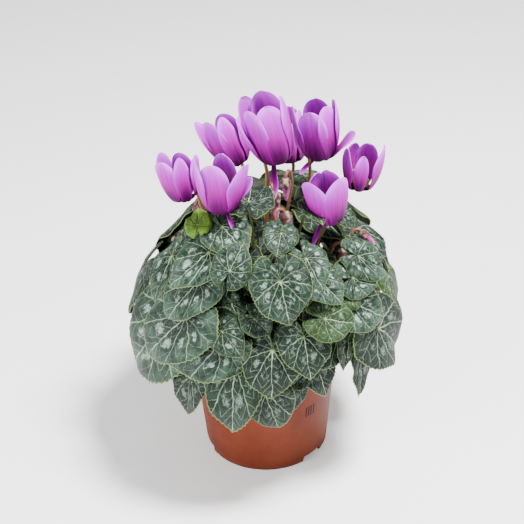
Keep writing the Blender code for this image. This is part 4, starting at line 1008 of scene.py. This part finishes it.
def petal_points(flower, row, seed, lines=40, columns=21):
    """Grid over one petal, from the mouth's lip to the tip.

    Its heading from the axis eases from 125 degrees at the lip to the spread, and by the curl at the
    tip; its half width swells from a seventh of its length to over a quarter, then closes as an ellipse;
    across, it bends on a circle about the axis, twists with s and waves at the edges."""
    bearing_of, spread, share, width, twist, curl = row
    random = np.random.default_rng(seed)
    length = flower.length * share
    s = np.linspace(0, 1, 121)
    heading = np.radians(spread + (125 - spread) * np.exp(-s / 0.06) + curl * s ** 3
                         + (15 - 42 * s) * (spread < 30))
    step = length / 120
    out = 4.6 * MM + np.concatenate([[0], np.cumsum(np.sin(heading[:-1]) * step)])
    up = 0.5 * MM + np.concatenate([[0], np.cumsum(np.cos(heading[:-1]) * step)])
    pick = 1 - (1 - np.linspace(0, 1, lines)) ** 1.35
    out, up, head = (np.interp(pick, s, value)[:, None] for value in (out, up, heading))
    pick = pick[:, None]
    widen = np.clip(pick / 0.62, 0, 1)
    half = length * width * (0.14 + 0.165 * widen ** 2 * (3 - 2 * widen))
    half = half * np.sqrt(1 - np.clip((pick - 0.58) / 0.42, 0, 1) ** 2)
    across = np.linspace(-1, 1, columns)[None]
    bend = (5.5 + 9 * pick) * MM
    side = bend * np.sin(half * across / bend)
    inward = bend * (1 - np.cos(half * across / bend)) * (0.75 if spread < 30 else 0.35)
    turn = np.radians(twist) * pick
    side, inward = side * np.cos(turn) - inward * np.sin(turn), side * np.sin(turn) + inward * np.cos(turn)
    phase = random.uniform(0, 6.28, 3)
    wave = 0.5 * MM * np.abs(across) ** 2 * pick * np.sin(9 * pick + phase[0] + 2 * np.sign(across))
    wave = wave + 0.22 * MM * np.sin(3.2 * across + 4 * pick + phase[1])
    wave = wave - 0.25 * MM * np.exp(-(across / 0.12) ** 2)
    off = wave - inward
    around = math.radians(bearing_of)
    way = np.array([math.sin(around), -math.cos(around), 0.0])
    way = unit(way - np.dot(way, flower.up) * flower.up)
    along = np.cross(flower.up, way)
    reach = out + off * np.cos(head)
    height = up - off * np.sin(head)
    points = (flower.mouth + reach[..., None] * way + side[..., None] * along + height[..., None] * flower.up)
    return points, np.broadcast_to(pick, side.shape), np.broadcast_to(across, side.shape)


def bell_points(flower, sides=48):
    """Bell of the corolla in the flower's frame, turned: outside up, and the hollow inside down."""
    profile = np.array([(0, 6.9), (2.2, 6.7), (3.9, 5.4), (4.5, 3.5), (4.3, 1.0), (4.5, 0.2), (5.0, -0.25),
                        (5.5, 0.1), (5.5, 1.0), (5.4, 3.5), (4.7, 6.0), (2.5, 7.4), (0, 7.6)]) * MM
    angle = full_turn(sides)
    radius, height = profile[:, :1], profile[:, 1:]
    scallop = 1 + 0.05 * np.cos(5 * angle[None]) * (height < 1.5 * MM)
    return flower.place(radius * scallop, angle[None] + 0 * radius, height + 0 * angle[None])


def join_sheets(name, sheets):
    """One mesh from several (points, u, v, wrap) sheets, with UV map "flat"."""
    parts = []
    for points, u, v, wrap in sheets:
        parts.append(sheet_mesh(name + "_sheet", points, wrap=wrap))
        set_uv(parts[-1], np.asarray(u, float).ravel(), np.asarray(v, float).ravel())
    return join_meshes(name, parts)


def petal_finish():
    """Cyclamen petal: thin and silky, magenta at the lip, orchid, then lilac at the tips; paler at the edges,
    partly its own lilac and partly painted light shining through.
    """
    finish = new_finish("silky petal", Roughness=0.55, Specular_IOR_Level=0.08, Subsurface_Weight=0.1,
                        Subsurface_Radius=(0.004, 0.0005, 0.004), Subsurface_Scale=0.4)
    node = partial(add_node, finish)
    flat = node("UVMap", uv_map="flat")
    across = node("Math", (node("SeparateXYZ", (flat,), "Y"),), operation="ABSOLUTE")
    stretch = node("VectorMath", (flat, (1.3, 16.0, 1.0)), operation="MULTIPLY")
    streak = node("TexNoise", {"Vector": stretch, "Scale": 1.6, "Detail": 4.0})
    # paler towards the edges: partly the petal's own lilac, partly painted light through the thin edges
    edge = node("Math", (node("Math", (across, 2.2), operation="POWER"), 0.28,
                         node("SeparateXYZ", (flat,), "X")), operation="MULTIPLY_ADD")
    uneven = node("Math", (streak, 0.5), operation="SUBTRACT")
    way = node("Math", (uneven, 0.45, edge), operation="MULTIPLY_ADD")
    colour = node("ValToRGB", (way,), stops=(
        (0.0, "#3A0036"), (0.30, "#560050"), (0.42, "#780072"), (0.56, "#98008E"), (0.75, "#B000BC"),
        (0.91, "#C42CDA"), (1.0, "#D85CEE")))
    plug(finish, {"Base Color": colour,
                  "Normal": node("Bump", {"Height": streak, "Strength": 0.25, "Distance": 0.0006})})
    return finish


petal_silk = petal_finish()
for number, (flower, rows) in enumerate(zip(flowers, PETALS), 1):
    node_name, name = [f"flower_{number}_corolla"], f"flower_{number}_corolla"
    petals = [(*petal_points(flower, row, number * 10 + order), False) for order, row in enumerate(rows)]
    petal_sheets = join_sheets(name + "_petals", petals)
    thicken(add_piece(name + "_petals", petal_sheets, [petal_silk], node_name), 0.35 * MM)
    bell = bell_points(flower)
    bell_sheet = (bell, np.zeros(bell.shape[:2]), np.zeros(bell.shape[:2]), True)
    bell_mesh = weld(join_sheets(name + "_bell", [bell_sheet]))
    add_piece(name + "_bell", bell_mesh, [petal_silk], node_name)


# Buds: the flowers to come, 14 to 22 mm long: furled petals twisted to a point and clasped by five
# purple-brown sepals, nodding on a hooked stem.

def bud_points(bud, lines=44, sides=60):
    """Spindle of furled petals: radius by height, its section a five-lobed spiral that turns with it."""
    share = np.linspace(0, 1, lines)[:, None]
    angle = full_turn(sides)[None]
    girth = np.interp(share, [0, 0.04, 0.15, 0.3, 0.5, 0.75, 0.92, 1],
                      [0.0, 0.10, 0.19, 0.2, 0.16, 0.10, 0.05, 0.0])
    spiral = 1 + 0.10 * np.abs(np.sin(2.5 * (angle - 3.5 * share))) * np.clip(share * 4, 0, 1)
    height = share * bud.length + 0 * angle
    return bud_place(bud, girth * spiral * bud.length * 0.92, angle + 0 * share, height), share


def bud_place(bud, reach, angle, height):
    """World points at a distance from the bud's axis, an angle about it and a height along it."""
    across = np.cross(bud.way, bud.side)
    flat = np.cos(angle)[..., None] * bud.side + np.sin(angle)[..., None] * across
    return bud.base + reach[..., None] * flat + height[..., None] * bud.way


def sepal_points(bud, lines=16, sides=90):
    """Calyx of the bud: a cup whose rim is cut into five pointed lobes half way up the bud."""
    share = np.linspace(0, 1, lines)[:, None]
    angle = full_turn(sides)[None]
    lobe = np.abs(np.cos(2.5 * angle)) ** 0.9
    height = share * (0.16 + 0.30 * lobe * share) * bud.length
    girth = np.interp(height / bud.length, [0, 0.04, 0.15, 0.3, 0.5], [0.06, 0.14, 0.23, 0.235, 0.19])
    reach = girth * bud.length * 0.92 * np.clip(share * 6, 0, 1)
    return bud_place(bud, reach, angle + 0 * share, height), share


def bud_finish():
    """Furled petals: deep pink-magenta at the base, paler in fine flecks and towards the tip."""
    finish = new_finish("furled petals", Roughness=0.45, Specular_IOR_Level=0.3, Subsurface_Weight=0.15,
                        Subsurface_Radius=(0.003, 0.001, 0.003))
    node = partial(add_node, finish)
    grain = node("TexNoise", {"Vector": node("TexCoord", output="Object"), "Scale": 300.0, "Detail": 3.0})
    along = node("SeparateXYZ", (node("UVMap", uv_map="flat"),), "X")
    colour = node("Mix", {0: node("MapRange", (along, 0.25, 1.0), **SMOOTH), 6: "#84205E", 7: "#B858A0"},
                  **COLOUR_MIX)
    pale = node("MapRange", (grain, 0.4, 0.8, 0.0, 0.5), **SMOOTH)
    plug(finish, {"Base Color": node("Mix", {0: pale, 6: colour, 7: "#E0A0C8"}, **COLOUR_MIX)})
    return finish


def sepal_finish():
    """Bud sepals: purple-brown with cream-green patches between the ribs."""
    finish = new_finish("sepal skin", Roughness=0.5, Specular_IOR_Level=0.35)
    node = partial(add_node, finish)
    patch = node("TexNoise", {"Vector": node("TexCoord", output="Object"), "Scale": 260.0, "Detail": 2.0})
    pale = node("MapRange", (patch, 0.5, 0.62), **SMOOTH)
    plug(finish, {"Base Color": node("Mix", {0: pale, 6: "#4A2828", 7: "#8E8668"}, **COLOUR_MIX)})
    return finish


furled, sepal_skin = bud_finish(), sepal_finish()
bud_stem_skin = stalk_finish("bud stem skin", "#5A3028", "#7A4A3C", 0.12, 0.2)
for number, (bud, line) in enumerate(zip(buds, lines[len(blades) + len(flowers):]), 1):
    name = f"bud_{number}"
    stem = tube_mesh(name + "_stem", smooth_line(line, 110), np.full(110, 1.15 * MM))
    add_piece(name + "_stem", stem, [bud_stem_skin], [name])
    for part, points_of, finish in (("furled", bud_points, furled), ("sepals", sepal_points, sepal_skin)):
        points, share = points_of(bud)
        sheet = (points, share + 0 * points[..., 0], 0 * points[..., 0], True)
        add_piece(f"{name}_{part}", weld(join_sheets(f"{name}_{part}", [sheet])), [finish], [name])


# Studio: white paper that lies flat under the pot and curves up far behind it, a key light above on the
# right, a weaker fill from the left, a white surround, and the camera in front, looking down.

FLOOR_HALF_WIDTH, WALL_START, WALL_CURVE = 3, 1.2, 1.2   # metres

turn = np.linspace(0, math.pi / 2, 24)
back = np.concatenate([[-FLOOR_HALF_WIDTH, WALL_START], WALL_START + WALL_CURVE * np.sin(turn)])
rise = np.concatenate([[0, 0], WALL_CURVE - WALL_CURVE * np.cos(turn)])
floor_points = np.stack([np.broadcast_to(axis, (len(back), 2)) for axis in (
    np.array([[-FLOOR_HALF_WIDTH, FLOOR_HALF_WIDTH]]), back[:, None], rise[:, None])], axis=-1)
floor_mesh = sheet_mesh("studio_floor", floor_points)
floor = bpy.data.objects.new("studio_floor", floor_mesh)
paper = new_finish("white studio paper", Base_Color="#FFFFFF", Roughness=0.95, Emission_Color="#FFFFFF",
                   Emission_Strength=0.3)
floor_mesh.materials.append(paper)
bpy.context.scene.collection.objects.link(floor)


def area_light(name, place, size, power, aim=(0, 0, 0.12)):
    light = bpy.data.lights.new(name, "AREA")
    light.shape, light.size, light.energy = "DISK", size, power
    lamp = bpy.data.objects.new(name, light)
    lamp.location = place
    lamp.rotation_euler = (Vector(aim) - Vector(place)).to_track_quat("-Z", "Y").to_euler()
    bpy.context.scene.collection.objects.link(lamp)


area_light("key", (0.45, -0.25, 1.4), 0.35, 72)
area_light("fill", (-1.2, -0.7, 0.5), 0.7, 26)
world = bpy.data.worlds.new("studio")
bpy.context.scene.world = world
world.use_nodes = True
world.node_tree.nodes["Background"].inputs["Color"].default_value = linear("#FFFFFF")
world.node_tree.nodes["Background"].inputs["Strength"].default_value = 0.42

pitch, roll = math.radians(31.0), math.radians(1.7)
ahead = np.array([0, math.cos(pitch), -math.sin(pitch)])
right, above = np.array([1.0, 0, 0]), np.array([0, math.sin(pitch), math.cos(pitch)])
across = math.cos(roll) * right - math.sin(roll) * above
upright = math.sin(roll) * right + math.cos(roll) * above
lens = bpy.data.cameras.new("camera")
lens.lens, lens.sensor_width = 75.4, 36
camera = bpy.data.objects.new("camera", lens)
camera.matrix_world = Matrix(np.column_stack([across, upright, -ahead]).tolist()).to_4x4()
camera.location = (0, -0.65, 0.54)
bpy.context.scene.collection.objects.link(camera)
bpy.context.scene.camera = camera
